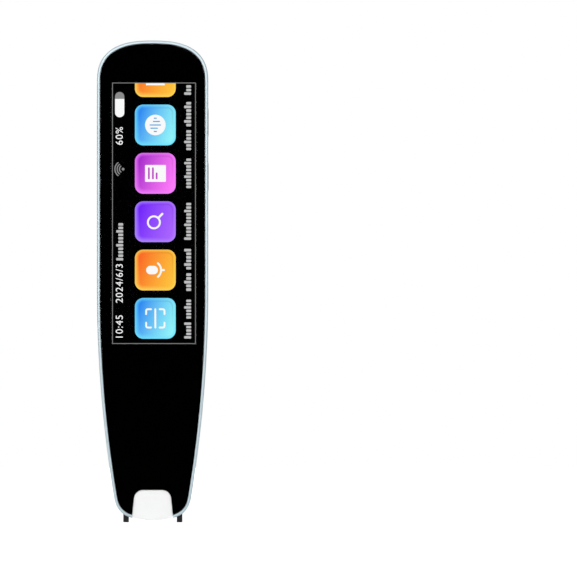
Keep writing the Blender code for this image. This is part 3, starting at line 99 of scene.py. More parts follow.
class Tree:
    """A node tree with short ways of adding to it."""

    def __init__(self, tree: bpy.types.NodeTree) -> None:
        """Keep the tree that nodes are added to."""
        self.tree = tree

    def add(self, kind: str, inputs: dict | None = None, **settings) -> bpy.types.Node:
        """Add a node.

        Args:
            kind: The node's type.
            inputs: A value or an output socket for each input, by name or place.
            settings: The node's own settings.

        Returns:
            The node.
        """
        made = self.tree.nodes.new(kind)
        for name, value in settings.items():
            setattr(made, name, value)
        for name, value in (inputs or {}).items():
            self.feed(made.inputs[name], value)
        return made

    def feed(self, socket: Socket, value: float | Triple | Socket) -> None:
        """Link an input to an output, or set it; a colour of three numbers is made opaque."""
        if isinstance(value, Socket):
            self.tree.links.new(value, socket)
        else:
            socket.default_value = (*value, 1.0) if socket.type == "RGBA" else value

    def maths(self, operation: str, *values: float | Socket) -> Socket:
        """Add a maths node and give its output."""
        return self.add("ShaderNodeMath", dict(enumerate(values)), operation=operation).outputs[0]

    def spread(self, value: Socket, low: float, high: float, to_low=0.0, to_high=1.0) -> Socket:
        """Map a value from one range to another, held at its ends, and give the output."""
        inputs = {"Value": value, "From Min": low, "From Max": high, "To Min": to_low, "To Max": to_high}
        return self.add("ShaderNodeMapRange", inputs).outputs["Result"]

    def place(self) -> Socket:
        """Give the place on the object, in its own metres."""
        return self.add("ShaderNodeTexCoord").outputs["Object"]

    def parts(self) -> bpy.types.bpy_prop_collection:
        """Give the three parts of the place, by X, Y and Z."""
        return self.add("ShaderNodeSeparateXYZ", {0: self.place()}).outputs

    def noise(self, scale: float | Socket, detail: float, roughness: float = 0.5) -> Socket:
        """Add noise of a scale over the place and give its value."""
        inputs = {"Vector": self.place(), "Scale": scale, "Detail": detail, "Roughness": roughness}
        return self.add("ShaderNodeTexNoise", inputs).outputs[0]

    def scaled(self, colour: Socket, factor: Socket) -> Socket:
        """Give a colour times a factor."""
        return self.add("ShaderNodeVectorMath", {0: colour, "Scale": factor}, operation="SCALE").outputs[0]

    def mix(self, share: Socket, first: Socket, second: Socket) -> Socket:
        """Mix two colours and give the output."""
        return self.add("ShaderNodeMix", {0: share, 6: first, 7: second}, data_type="RGBA").outputs[2]


class Effect(Tree):
    """A shader node group with named inputs and outputs, built once and placed in many materials."""

    def __init__(self, name: str) -> None:
        """Start an empty group."""
        super().__init__(bpy.data.node_groups.new(name, "ShaderNodeTree"))
        self.entry = self.tree.nodes.new("NodeGroupInput")
        self.exit = self.tree.nodes.new("NodeGroupOutput")

    def take(self, name: str, default: float | Triple) -> Socket:
        """Give the group an input.

        Args:
            name: The input's name.
            default: Its value; three numbers make it a colour.

        Returns:
            The socket inside the group.
        """
        colour = isinstance(default, tuple)
        kind = "NodeSocketColor" if colour else "NodeSocketFloat"
        socket = self.tree.interface.new_socket(name, in_out="INPUT", socket_type=kind)
        socket.default_value = (*default, 1.0) if colour else default
        return self.entry.outputs[name]

    def give(self, name: str, value: Socket, colour: bool = False) -> None:
        """Give the group an output that carries a value."""
        kind = "NodeSocketColor" if colour else "NodeSocketFloat"
        self.tree.interface.new_socket(name, in_out="OUTPUT", socket_type=kind)
        self.tree.links.new(value, self.exit.inputs[name])


def moulded_grain(effect: Effect) -> None:
    """Fine relief such as a mould leaves, in two sizes of grain."""
    size, depth = effect.take("Size", 0.2 * MM), effect.take("Depth", 0.01 * MM)
    scale = effect.maths("DIVIDE", 1.0, size)
    broad = effect.noise(effect.maths("MULTIPLY", scale, 0.2), 1.0)
    both = effect.maths("MULTIPLY_ADD", broad, 0.6, effect.noise(scale, 2.0))
    effect.give("Height", effect.maths("MULTIPLY", both, depth))


def brushed_lines(effect: Effect) -> None:
    """Long fine lines along the pen, such as brushing and drawing leave on metal."""
    size, depth = effect.take("Size", 0.1 * MM), effect.take("Depth", 0.004 * MM)
    across = effect.maths("DIVIDE", 1.0, size)
    along = effect.maths("MULTIPLY", across, 0.02)
    steps = effect.add("ShaderNodeCombineXYZ", {"X": across, "Y": across, "Z": along}).outputs[0]
    inputs = {0: effect.place(), 1: steps}
    stretched = effect.add("ShaderNodeVectorMath", inputs, operation="MULTIPLY").outputs[0]
    lines = effect.add("ShaderNodeTexNoise", {"Vector": stretched, "Scale": 1.0, "Detail": 3.0}).outputs[0]
    effect.give("Height", effect.maths("MULTIPLY", lines, depth))


def woven_threads(effect: Effect) -> None:
    """The relief of a plain weave seen from the front."""
    size, depth = effect.take("Size", 0.2 * MM), effect.take("Depth", 0.05 * MM)
    turn = effect.maths("DIVIDE", math.tau, size)
    parts = effect.parts()
    warp = effect.maths("SINE", effect.maths("MULTIPLY", parts["X"], turn))
    weft = effect.maths("SINE", effect.maths("MULTIPLY", parts["Z"], turn))
    effect.give("Height", effect.maths("MULTIPLY", effect.maths("MULTIPLY", warp, weft), depth))


def open_cells(effect: Effect) -> None:
    """The pitted relief of foam."""
    size, depth = effect.take("Size", 0.3 * MM), effect.take("Depth", 0.08 * MM)
    scale = effect.maths("DIVIDE", 1.0, size)
    cells = effect.add("ShaderNodeTexVoronoi", {"Vector": effect.place(), "Scale": scale}).outputs["Distance"]
    effect.give("Height", effect.maths("MULTIPLY", cells, depth))


def handling_marks(effect: Effect) -> None:
    """A gloss that varies a little where hands have rubbed a surface."""
    patch, low, high = effect.take("Patch", 9 * MM), effect.take("Low", 0.4), effect.take("High", 0.5)
    share = effect.spread(effect.noise(effect.maths("DIVIDE", 1.0, patch), 5.0, 0.6), 0.35, 0.65)
    reach = effect.maths("SUBTRACT", high, low)
    effect.give("Value", effect.maths("MULTIPLY_ADD", share, reach, low))


def colour_drift(effect: Effect) -> None:
    """A colour that drifts a little lighter and darker over a surface."""
    colour = effect.take("Colour", (0.5, 0.5, 0.5))
    amount, patch = effect.take("Amount", 0.08), effect.take("Patch", 6 * MM)
    noise = effect.noise(effect.maths("DIVIDE", 1.0, patch), 3.0)
    centred = effect.maths("MULTIPLY", effect.maths("SUBTRACT", noise, 0.5), 2.0)
    factor = effect.maths("MULTIPLY_ADD", centred, amount, 1.0)
    effect.give("Colour", effect.scaled(colour, factor), colour=True)


def worn_edges(effect: Effect) -> None:
    """A lighter colour where a piece's edges have been rubbed."""
    colour = effect.take("Colour", (0.5, 0.5, 0.5))
    worn, reach = effect.take("Worn", (0.6, 0.6, 0.6)), effect.take("Reach", 0.25 * MM)
    amount = effect.take("Amount", 0.3)
    soft = effect.add("ShaderNodeBevel", {"Radius": reach}, samples=4).outputs[0]
    plain = effect.add("ShaderNodeNewGeometry").outputs["Normal"]
    dot = effect.add("ShaderNodeVectorMath", {0: soft, 1: plain}, operation="DOT_PRODUCT").outputs["Value"]
    edge = effect.spread(effect.maths("SUBTRACT", 1.0, dot), 0.02, 0.25)
    broken = effect.spread(effect.noise(900.0, 4.0), 0.4, 0.62)
    mask = effect.maths("MULTIPLY", effect.maths("MULTIPLY", edge, broken), amount)
    effect.give("Colour", effect.mix(mask, colour, worn), colour=True)


def screen_pixels(effect: Effect) -> None:
    """A lit colour broken by the fine rows of a display."""
    colour, pitch = effect.take("Colour", (1.0, 1.0, 1.0)), effect.take("Pitch", 0.09 * MM)
    turn = effect.maths("DIVIDE", math.tau, pitch)
    parts = effect.parts()
    rows = effect.maths("SINE", effect.maths("MULTIPLY", parts["Z"], turn))
    columns = effect.maths("SINE", effect.maths("MULTIPLY", parts["X"], turn))
    factor = effect.maths("MULTIPLY_ADD", effect.maths("MULTIPLY", rows, columns), 0.05, 1.0)
    effect.give("Colour", effect.scaled(colour, factor), colour=True)


def tile_shades(effect: Effect) -> None:
    """A tile's picture about the object's origin: a gradient, a bright edge and a dark inner line."""
    first, second = effect.take("First", (0.1, 0.3, 0.9)), effect.take("Second", (0.2, 0.8, 0.8))
    bright = effect.take("Edge", (0.2, 0.8, 1.0))
    half, corner = effect.take("Half", 6.4 * MM), effect.take("Corner", 2.5 * MM)
    parts = effect.parts()
    x, z = parts["X"], parts["Z"]
    slant = effect.maths("DIVIDE", effect.maths("MULTIPLY_ADD", z, -0.35, x), half)
    ramp = effect.mix(effect.spread(slant, -0.95, 1.05), first, second)
    inner = effect.maths("SUBTRACT", half, corner)
    past = [effect.maths("SUBTRACT", effect.maths("ABSOLUTE", value), inner) for value in (x, z)]
    outside = [effect.maths("POWER", effect.maths("MAXIMUM", value, 0.0), 2.0) for value in past]
    round_part = effect.maths("SQRT", effect.maths("ADD", *outside))
    flat_part = effect.maths("MINIMUM", effect.maths("MAXIMUM", *past), 0.0)
    depth = effect.maths("SUBTRACT", effect.maths("ADD", round_part, flat_part), corner)
    towards = effect.maths("DIVIDE", effect.maths("ADD", x, z), half)
    width = effect.spread(towards, -1.6, 1.4, 1.8 * MM, 0.8 * MM)
    rise = effect.maths("ADD", effect.maths("DIVIDE", depth, width), 1.0)
    edge = effect.maths("POWER", effect.maths("MAXIMUM", rise, 0.0), 1.25)
    strength = effect.spread(towards, -1.6, 1.8, 1.0, 0.6)
    light = effect.mix(effect.maths("MULTIPLY", edge, strength), ramp, bright)
    beside = effect.maths("ABSOLUTE", effect.maths("ADD", depth, 1.0 * MM))
    line = effect.spread(beside, 0.05 * MM, 0.32 * MM, 1.0, 0.0)
    shade = effect.spread(towards, 0.3, 1.7, 0.0, 0.22)
    kept = effect.maths("SUBTRACT", 1.0, effect.maths("MULTIPLY", line, shade))
    effect.give("Colour", effect.scaled(light, kept), colour=True)


class Relief(Enum):
    """The kinds of fine relief that a surface can have."""

    GRAIN = "moulded_grain"
    BRUSHED = "brushed_lines"
    WOVEN = "woven_threads"
    CELLS = "open_cells"


EFFECT_BUILDERS = (
    moulded_grain, brushed_lines, woven_threads, open_cells, handling_marks, colour_drift, worn_edges,
    screen_pixels, tile_shades,
)
EFFECTS: dict[str, bpy.types.NodeTree] = {}
for fill in EFFECT_BUILDERS:
    group = Effect(fill.__name__)
    fill(group)
    EFFECTS[fill.__name__] = group.tree


# Finishes

class Surface(Tree):
    """A material with its Principled shader, ready for effects."""

    def __init__(self, name: str) -> None:
        """Start a material that holds only its Principled shader."""
        self.material = bpy.data.materials.new(name)
        self.material.use_nodes = True
        super().__init__(self.material.node_tree)
        self.shader = self.tree.nodes["Principled BSDF"]

    def effect(self, name: str, **values: float | Triple | Socket) -> bpy.types.Node:
        """Place an effect's group with its own values."""
        placed = self.tree.nodes.new("ShaderNodeGroup")
        placed.node_tree = EFFECTS[name]
        for key, value in values.items():
            self.feed(placed.inputs[key], value)
        return placed

    def set(self, **values: float | Triple | Socket) -> None:
        """Set the shader's sockets, whose names are written with low lines for spaces."""
        for key, value in values.items():
            self.feed(self.shader.inputs[key.replace("_", " ")], value)

    def relief(self, kind: Relief, size: float, depth: float) -> None:
        """Bend the shading by a fine relief of a real size and depth."""
        height = self.effect(kind.value, Size=size, Depth=depth).outputs["Height"]
        self.set(Normal=self.add("ShaderNodeBump", {"Height": height, "Distance": 1.0}).outputs[0])

    def gloss(self, roughness: float, reach: float, patch: float) -> None:
        """Let the roughness vary about a value."""
        low, high = roughness - reach, roughness + reach
        self.set(Roughness=self.effect("handling_marks", Patch=patch, Low=low, High=high).outputs["Value"])

    def lit(self, colour: Triple | Socket, strength: float) -> Material:
        """Make the surface a lit part of the screen and give its material."""
        self.set(Base_Color=(0.0, 0.0, 0.0), Roughness=0.6, Specular_IOR_Level=0.0)
        glow = self.effect("screen_pixels", Colour=colour).outputs["Colour"]
        self.set(Emission_Color=glow, Emission_Strength=strength)
        return self.material


@dataclass(frozen=True)
class Finish:
    """A solid finish: a colour that drifts, a gloss that varies, a fine relief and rubbed edges."""

    name: str
    colour: Triple
    roughness: float
    metallic: float = 0.0
    specular: float = 0.5
    drift: float = 0.06
    patch: float = 7.0 * MM
    gloss_reach: float = 0.05
    relief: Relief = Relief.GRAIN
    relief_size: float = 0.16 * MM
    relief_depth: float = 0.004 * MM
    worn: Triple | None = None
    wear: float = 0.3
    coat: float = 0.0
    glow_through: float = 0.0
    glow_reach: float = 0.8 * MM

    def build(self) -> Material:
        """Make the material."""
        surface = Surface(self.name)
        colour = surface.effect("colour_drift", Colour=self.colour, Amount=self.drift, Patch=self.patch)
        shade = colour.outputs["Colour"]
        if self.worn:
            values = {"Colour": shade, "Worn": self.worn, "Amount": self.wear}
            shade = surface.effect("worn_edges", **values).outputs["Colour"]
        surface.set(Base_Color=shade, Metallic=self.metallic, Specular_IOR_Level=self.specular)
        surface.set(Coat_Weight=self.coat, Subsurface_Weight=self.glow_through)
        surface.set(Subsurface_Radius=(1.0, 1.0, 1.0), Subsurface_Scale=self.glow_reach)
        surface.gloss(self.roughness, self.gloss_reach, self.patch)
        surface.relief(self.relief, self.relief_size, self.relief_depth)
        return surface.material


@dataclass(frozen=True)
class ClearFinish:
    """A clear finish, such as glass, clear plastic or frosted plastic."""

    name: str
    colour: Triple
    roughness: float
    ior: float = 1.49
    transmission: float = 1.0
    gloss_reach: float = 0.01
    patch: float = 8.0 * MM

    def build(self) -> Material:
        """Make the material."""
        surface = Surface(self.name)
        drift = surface.effect("colour_drift", Colour=self.colour, Amount=0.01, Patch=self.patch)
        surface.set(Base_Color=drift.outputs["Colour"], IOR=self.ior, Transmission_Weight=self.transmission)
        surface.gloss(self.roughness, self.gloss_reach, self.patch)
        return surface.material


@dataclass(frozen=True)
class LitFinish:
    """A lit part of the screen's picture, in one colour."""

    name: str
    colour: Triple
    strength: float = 1.05

    def build(self) -> Material:
        """Make the material."""
        return Surface(self.name).lit(self.colour, self.strength)


@dataclass(frozen=True)
class TileFinish:
    """A lit tile whose colour runs from one side to the other, with a lighter edge."""

    name: str
    first: Triple
    second: Triple
    edge: Triple
    half: float
    corner: float
    strength: float = 1.05

    def build(self) -> Material:
        """Make the material."""
        surface = Surface(self.name)
        values = {"First": self.first, "Second": self.second, "Edge": self.edge, "Half": self.half}
        shades = surface.effect("tile_shades", Corner=self.corner, **values).outputs["Colour"]
        return surface.lit(shades, self.strength)


BLACK_PLASTIC = Finish(
    "black_plastic", shown(17, 17, 18), 0.31, specular=0.42, gloss_reach=0.02, worn=shown(58, 58, 60)
)
TRIM_BLACK = Finish(
    "trim_black", shown(35, 35, 36), 0.3, specular=0.46, gloss_reach=0.02, worn=shown(72, 72, 74)
)
KEY_BLACK = Finish(
    "key_black", shown(12, 12, 13), 0.4, specular=0.12, gloss_reach=0.02, worn=shown(50, 50, 52)
)
FOOT_GREY = Finish("foot_grey", shown(50, 51, 52), 0.4, specular=0.45, worn=shown(96, 96, 98), wear=0.45)
PALE_METAL = Finish(
    "pale_metal", shown(210, 228, 235), 0.3, metallic=0.25, drift=0.015, gloss_reach=0.012,
    relief=Relief.BRUSHED, relief_size=0.12 * MM, relief_depth=0.0015 * MM, worn=shown(236, 244, 247),
    wear=0.5,
)
STEEL = Finish(
    "steel", shown(196, 198, 200), 0.32, metallic=1.0, relief=Relief.BRUSHED, relief_depth=0.003 * MM
)
CHASSIS_METAL = Finish("chassis_metal", shown(136, 138, 141), 0.42, metallic=1.0, relief=Relief.BRUSHED)
BATTERY_POUCH = Finish(
    "battery_pouch", shown(178, 180, 184), 0.36, metallic=0.9, relief_size=1.6 * MM, relief_depth=0.05 * MM
)
BOARD_GREEN = Finish("board_green", shown(38, 89, 63), 0.3, drift=0.2, patch=1.6 * MM, coat=0.3)
COPPER_FILM = Finish("copper_film", shown(203, 156, 108), 0.35, drift=0.12, patch=1.2 * MM, coat=0.4)
LAMP_WHITE = Finish("lamp_white", shown(238, 236, 220), 0.3, relief_depth=0.002 * MM)
MESH_BLACK = Finish(
    "mesh_black", shown(8, 8, 9), 0.8, specular=0.2, relief=Relief.WOVEN, relief_size=0.24 * MM
)
FOAM = Finish("foam", shown(80, 80, 80), 0.9, relief=Relief.CELLS, relief_depth=0.08 * MM)
CONE_GREY = Finish("cone_grey", shown(63, 63, 63), 0.65, relief_size=0.5 * MM, relief_depth=0.03 * MM)
PANEL_BLACK = Finish("panel_black", shown(3, 3, 4), 0.5, specular=0.0, relief_depth=0.001 * MM)
PRINT_BLACK = Finish("print_black", shown(1, 1, 1), 0.6, specular=0.0, relief_depth=0.001 * MM)
MARK_INK = Finish("mark_ink", shown(14, 14, 14), 0.5, relief_depth=0.002 * MM)
CONTACT_GOLD = Finish("contact_gold", shown(226, 186, 110), 0.25, metallic=1.0, relief_depth=0.001 * MM)
COVER_GLASS = ClearFinish("cover_glass", shown(250, 251, 252), 0.015, ior=1.5)
LENS_GLASS = ClearFinish("lens_glass", shown(120, 150, 215), 0.03, ior=1.6)
CLEAR_PLASTIC = ClearFinish("clear_plastic", shown(252, 253, 253), 0.2, ior=1.4, transmission=0.08)
# Near-black and almost without gloss: painted shade, for the seals that stand in the grille's groove and
# round the notch.
SHADE_SEAL_BLACK = Finish("shade_seal_black", shown(2, 2, 2), 0.7, specular=0.05, relief_depth=0.001 * MM)
FROSTED_PLASTIC = Finish(
    "frosted_plastic", shown(250, 251, 252), 0.4, specular=0.3, drift=0.01, relief_depth=0.003 * MM,
    glow_through=0.8,
)
LIT_WHITE = LitFinish("lit_white", shown(250, 250, 250))
LIT_GREY = LitFinish("lit_grey", shown(140, 140, 140))
LIT_LABEL = LitFinish("lit_label", shown(190, 190, 190))
LIT_BORDER = LitFinish("lit_border", shown(132, 132, 132))
LIT_MAGENTA = LitFinish("lit_magenta", shown(190, 60, 196))
LIT_BLUE = LitFinish("lit_blue", shown(74, 164, 220))

AnyFinish = Finish | ClearFinish | LitFinish | TileFinish
_made: dict[str, Material] = {}


def material_of(finish: AnyFinish) -> Material:
    """Give a finish's material, which is made at its first use."""
    if finish.name not in _made:
        _made[finish.name] = finish.build()
    return _made[finish.name]


# Outlines in the plane of the screen

def turns(sweep: float, steps: int, start: float = 0.0) -> list[float]:
    """The angles of an arc, from its start to its end."""
    return [start + sweep * step / steps for step in range(steps + 1)]


def circle(radius: float, steps: int = 48, middle: Pair = (0.0, 0.0)) -> Outline:
    """A round outline."""
    angles = turns(math.tau, steps)[:-1]
    return [(middle[0] + radius * math.cos(a), middle[1] + radius * math.sin(a)) for a in angles]


def rounded(corners: list[tuple[float, float, float]], steps: int = 12) -> Outline:
    """A polygon whose corners are arcs.

    Args:
        corners: The corners in order, each with the radius of its arc; zero keeps it sharp.
        steps: How many straight lines make an arc.

    Returns:
        The outline's points.
    """
    points = []
    for index, (x, z, radius) in enumerate(corners):
        if not radius:
            points.append((x, z))
            continue
        here = Vector((x, z))
        before = (Vector(corners[index - 1][:2]) - here).normalized()
        after = (Vector(corners[(index + 1) % len(corners)][:2]) - here).normalized()
        half_angle = before.angle(after) / 2
        middle = here + (before + after).normalized() * radius / math.sin(half_angle)
        first = here + before * radius / math.tan(half_angle) - middle
        last = here + after * radius / math.tan(half_angle) - middle
        start = math.atan2(first.y, first.x)
        sweep = (math.atan2(last.y, last.x) - start + math.pi) % math.tau - math.pi
        for angle in turns(sweep, steps, start):
            points.append((middle.x + radius * math.cos(angle), middle.y + radius * math.sin(angle)))
    return points


def rectangle(low: Pair, high: Pair, radius: float = 0.0, steps: int = 8) -> Outline:
    """A rectangle between two corners, with round corners if a radius is given."""
    corners = [(low[0], low[1]), (high[0], low[1]), (high[0], high[1]), (low[0], high[1])]
    return rounded([(x, z, radius) for x, z in corners], steps)


def stadium(length: float, width: float, steps: int = 16) -> Outline:
    """A slot's outline about the origin, long along the second axis."""
    half = (width / 2, length / 2)
    return rectangle((-half[0], -half[1]), half, width / 2 * ROUND_SHARE, steps)


def inset(points: Outline, distance: float) -> Outline:
    """Draw a closed outline in by a distance; a negative one lets it out."""
    area = sum(a[0] * b[1] - b[0] * a[1] for a, b in zip(points, points[1:] + points[:1]))
    side = math.copysign(distance, area)
    moved = []
    for index, here in enumerate(points):
        before, after = Vector(points[index - 1]), Vector(points[(index + 1) % len(points)])
        first, last = (Vector(here) - before).normalized(), (after - Vector(here)).normalized()
        one, two = Vector((-first.y, first.x)), Vector((-last.y, last.x))
        shift = (one + two) * side / max(SHARPEST_CORNER, 1 + one.dot(two))
        moved.append((here[0] + shift.x, here[1] + shift.y))
    return moved


def ribbon(path: Outline, width: float, steps: int = 6) -> Outline:
    """The outline of a line of a width with round ends.

    Args:
        path: The line's points.
        width: Its width.
        steps: How many straight lines make each end.

    Returns:
        The closed outline.
    """
    points = []
    for line in (path, path[::-1]):
        for index, here in enumerate(line[:-1]):
            ahead = (Vector(line[index + 1]) - Vector(here)).normalized()
            if index:
                ahead = (ahead + (Vector(here) - Vector(line[index - 1])).normalized()).normalized()
            points.append((here[0] + ahead.y * width / 2, here[1] - ahead.x * width / 2))
        tip = Vector(line[-1])
        ahead = (tip - Vector(line[-2])).normalized()
        for angle in turns(math.pi, steps, math.atan2(-ahead.x, ahead.y)):
            points.append((tip.x + math.cos(angle) * width / 2, tip.y + math.sin(angle) * width / 2))
    return points


# Meshes

class Cap(Enum):
    """How the ends of a loft are closed."""

    FACE = "one face at each end"
    STRIPS = "strips from side to side, for a symmetric ring"
    HOOP = "the last ring joins the first"


class Axis(Enum):
    """The axis that a plate's thickness lies along, with where its outline's two axes point."""

    X = ((0, 1, 0), (0, 0, 1), (1, 0, 0))
    Y = ((1, 0, 0), (0, 0, 1), (0, 1, 0))
    Z = ((1, 0, 0), (0, 1, 0), (0, 0, 1))


def stand(name: str, data: bpy.types.ID) -> Object:
    """Put a mesh, a curve, a lamp or a camera into the scene as an object."""
    made = bpy.data.objects.new(name, data)
    bpy.context.scene.collection.objects.link(made)
    return made


def from_bmesh(name: str, bm: bmesh.types.BMesh, outwards: bool = True) -> Object:
    """Turn a bmesh into an object, whose faces are made to look outwards unless told not to."""
    if outwards:
        bmesh.ops.recalc_face_normals(bm, faces=bm.faces)
    mesh = bpy.data.meshes.new(name)
    bm.to_mesh(mesh)
    bm.free()
    return stand(name, mesh)


def in_space(line: Outline, level: float, axis: Axis, place: Pair) -> Ring:
    """The points of an outline at a level along an axis, with the outline's origin at a place."""
    across, along, through = (Vector(direction) for direction in axis.value)
    return [tuple(across * (a + place[0]) + along * (b + place[1]) + through * level) for a, b in line]


def middle_of(node: str) -> Triple:
    """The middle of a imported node's box."""
    return tuple((low + high) / 2 for low, high in zip(*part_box(node)))


def close_with_strips(bm: bmesh.types.BMesh, loop: list[bmesh.types.BMVert]) -> None:
    """Close a symmetric ring, which starts at its lowest point, with strips from side to side."""
    half = len(loop) // 2
    bm.faces.new((loop[0], loop[1], loop[-1]))
    for step in range(1, half - 1):
        bm.faces.new((loop[step], loop[step + 1], loop[-step - 1], loop[-step]))
    bm.faces.new((loop[half - 1], loop[half], loop[half + 1]))


def loft(name: str, rings: list[Ring], cap: Cap = Cap.FACE) -> Object:
    """Join rings of equal length into a closed skin.

    Args:
        name: The object's name.
        rings: The rings, each a list of points.
        cap: How the ends are closed.

    Returns:
        The object.
    """
    bm = bmesh.new()
    loops = [[bm.verts.new(point) for point in ring] for ring in rings]
    ahead = loops[1:] + loops[:1] if cap is Cap.HOOP else loops[1:]
    for near, far in zip(loops, ahead):
        for step, corner in enumerate(near):
            bm.faces.new((near[step - 1], corner, far[step], far[step - 1]))
    if cap is Cap.STRIPS:
        close_with_strips(bm, loops[0])
        close_with_strips(bm, loops[-1])
    if cap is Cap.FACE:
        bm.faces.new(loops[0])
        bm.faces.new(loops[-1])
    return from_bmesh(name, bm)


def layers(low: float, high: float, rounding: float, steps: int = 4) -> list[Pair]:
    """The levels of a plate with round edges, each with how far its outline is drawn in."""
    if not rounding:
        return [(low, 0.0), (high, 0.0)]
    angles = turns(math.pi / 2, steps)[::-1]
    first = [(low + rounding * (1 - math.sin(a)), rounding * (1 - math.cos(a))) for a in angles]
    last = [(high - level + low, drawn) for level, drawn in first[::-1]]
    return first + last


def plate(
    name: str, points: Outline, low: float, high: float, axis: Axis = Axis.Y, place: Pair = (0.0, 0.0),
    rounding: float = 0.0,
) -> Object:
    """A plate of an outline, with round edges if a radius is given.

    Args:
        name: The object's name.
        points: The outline.
        low: Where the plate starts along its axis.
        high: Where it ends.
        axis: The axis that its thickness lies along.
        place: Where the outline's origin lies across that axis.
        rounding: The radius of its edges.

    Returns:
        The object.
    """
    levels = layers(low, high, rounding)
    lines = [(inset(points, drawn) if drawn else points, level) for level, drawn in levels]
    return loft(name, [in_space(line, level, axis, place) for line, level in lines])


def band(name: str, outer: Outline, inner: Outline, low: float, high: float, place: Pair) -> Object:
    """A flat ring between two outlines of equal length, facing the front."""
    corners = ((outer, low), (outer, high), (inner, high), (inner, low))
    return loft(name, [in_space(line, level, Axis.Y, place) for line, level in corners], Cap.HOOP)


def block(name: str, low: Triple, high: Triple, rounding: float = 0.0) -> Object:
    """A box between two corners, with round edges if a radius is given."""
    low, high = Vector(low), Vector(high)
    bm = bmesh.new()
    place = Matrix.Translation((low + high) / 2) @ Matrix.Diagonal((*(high - low), 1.0))
    bmesh.ops.create_cube(bm, size=1.0, matrix=place)
    if rounding:
        bmesh.ops.bevel(
            bm, geom=bm.edges[:], offset=rounding, segments=4, profile=0.5, affect="EDGES", clamp_overlap=True
        )
    return from_bmesh(name, bm)


def lathe(name: str, profile: list[Pair], middle: Triple, steps: int = 96, axis: Axis = Axis.Y) -> Object:
    """Turn a profile of radius and height about an axis; its ends lie on the axis."""
    across, along, through = (Vector(direction) for direction in axis.value)
    rings = []
    for radius, height in profile:
        centre = Vector(middle), through * height
        line = circle(radius, steps)
        rings.append([tuple(centre[0] + across * a + along * b + centre[1]) for a, b in line])
    return loft(name, rings)


def combine(piece: Object, tools: tuple[Object, ...], operation: str) -> Object:
    """Cut, join or clip a piece with tools, which are used up.

    Args:
        piece: The object that changes.
        tools: The objects that it is combined with, one after another.
        operation: DIFFERENCE, UNION or INTERSECT.

    Returns:
        The piece.
    """
    for tool in tools:
        step = piece.modifiers.new("combine", "BOOLEAN")
        step.operation, step.solver, step.object = operation, "EXACT", tool
    graph = bpy.context.evaluated_depsgraph_get()
    mesh = bpy.data.meshes.new_from_object(piece.evaluated_get(graph))
    piece.modifiers.clear()
    piece.data = mesh
    mesh.name = piece.name
    bm = bmesh.new()
    bm.from_mesh(mesh)
    bmesh.ops.recalc_face_normals(bm, faces=bm.faces)
    bm.to_mesh(mesh)
    bm.free()
    for tool in tools:
        bpy.data.objects.remove(tool)
    return piece


def cut(piece: Object, *tools: Object) -> Object:
    """Cut tools out of a piece."""
    return combine(piece, tools, "DIFFERENCE")


def clip(piece: Object, *tools: Object) -> Object:
    """Keep only what of a piece lies inside its tools."""
    return combine(piece, tools, "INTERSECT")


def join(piece: Object, *tools: Object) -> Object:
    """Join tools to a piece."""
    return combine(piece, tools, "UNION")


def soften(piece: Object, width: float, angle: float = math.radians(50), segments: int = 3) -> Object:
    """Round a piece's sharp edges by a modifier that is applied at once."""
    edge = piece.modifiers.new("soften", "BEVEL")
    edge.width, edge.segments, edge.limit_method, edge.angle_limit = width, segments, "ANGLE", angle
    edge.miter_outer, edge.use_clamp_overlap = "MITER_ARC", True
    return join(piece)


def merge(name: str, pieces: list[Object]) -> Object:
    """Make several objects one, each keeping its place."""
    bm = bmesh.new()
    for piece in pieces:
        piece.data.transform(piece.matrix_basis)
        bm.from_mesh(piece.data)
    for piece in pieces:
        bpy.data.objects.remove(piece)
    return from_bmesh(name, bm, outwards=False)


def settle(
    piece: Object, finish: AnyFinish, slot: str, *nodes: str, body: str = "housing", smooth: bool = True
) -> Object:
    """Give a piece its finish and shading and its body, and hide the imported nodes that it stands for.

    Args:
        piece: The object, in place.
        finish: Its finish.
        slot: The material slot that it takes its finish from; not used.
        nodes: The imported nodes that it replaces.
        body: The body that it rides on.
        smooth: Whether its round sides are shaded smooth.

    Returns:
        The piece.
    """
    piece.data.materials.clear()
    piece.data.materials.append(material_of(finish))
    if smooth:
        piece.data.shade_smooth()
        piece.data.set_sharp_from_angle(angle=SHARP_ANGLE)
        even = piece.modifiers.new("even_shading", "WEIGHTED_NORMAL")
        even.keep_sharp = True
    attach(piece, body)
    if nodes:
        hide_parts(*nodes)
    return piece


# The housing's form, which all the outer pieces follow

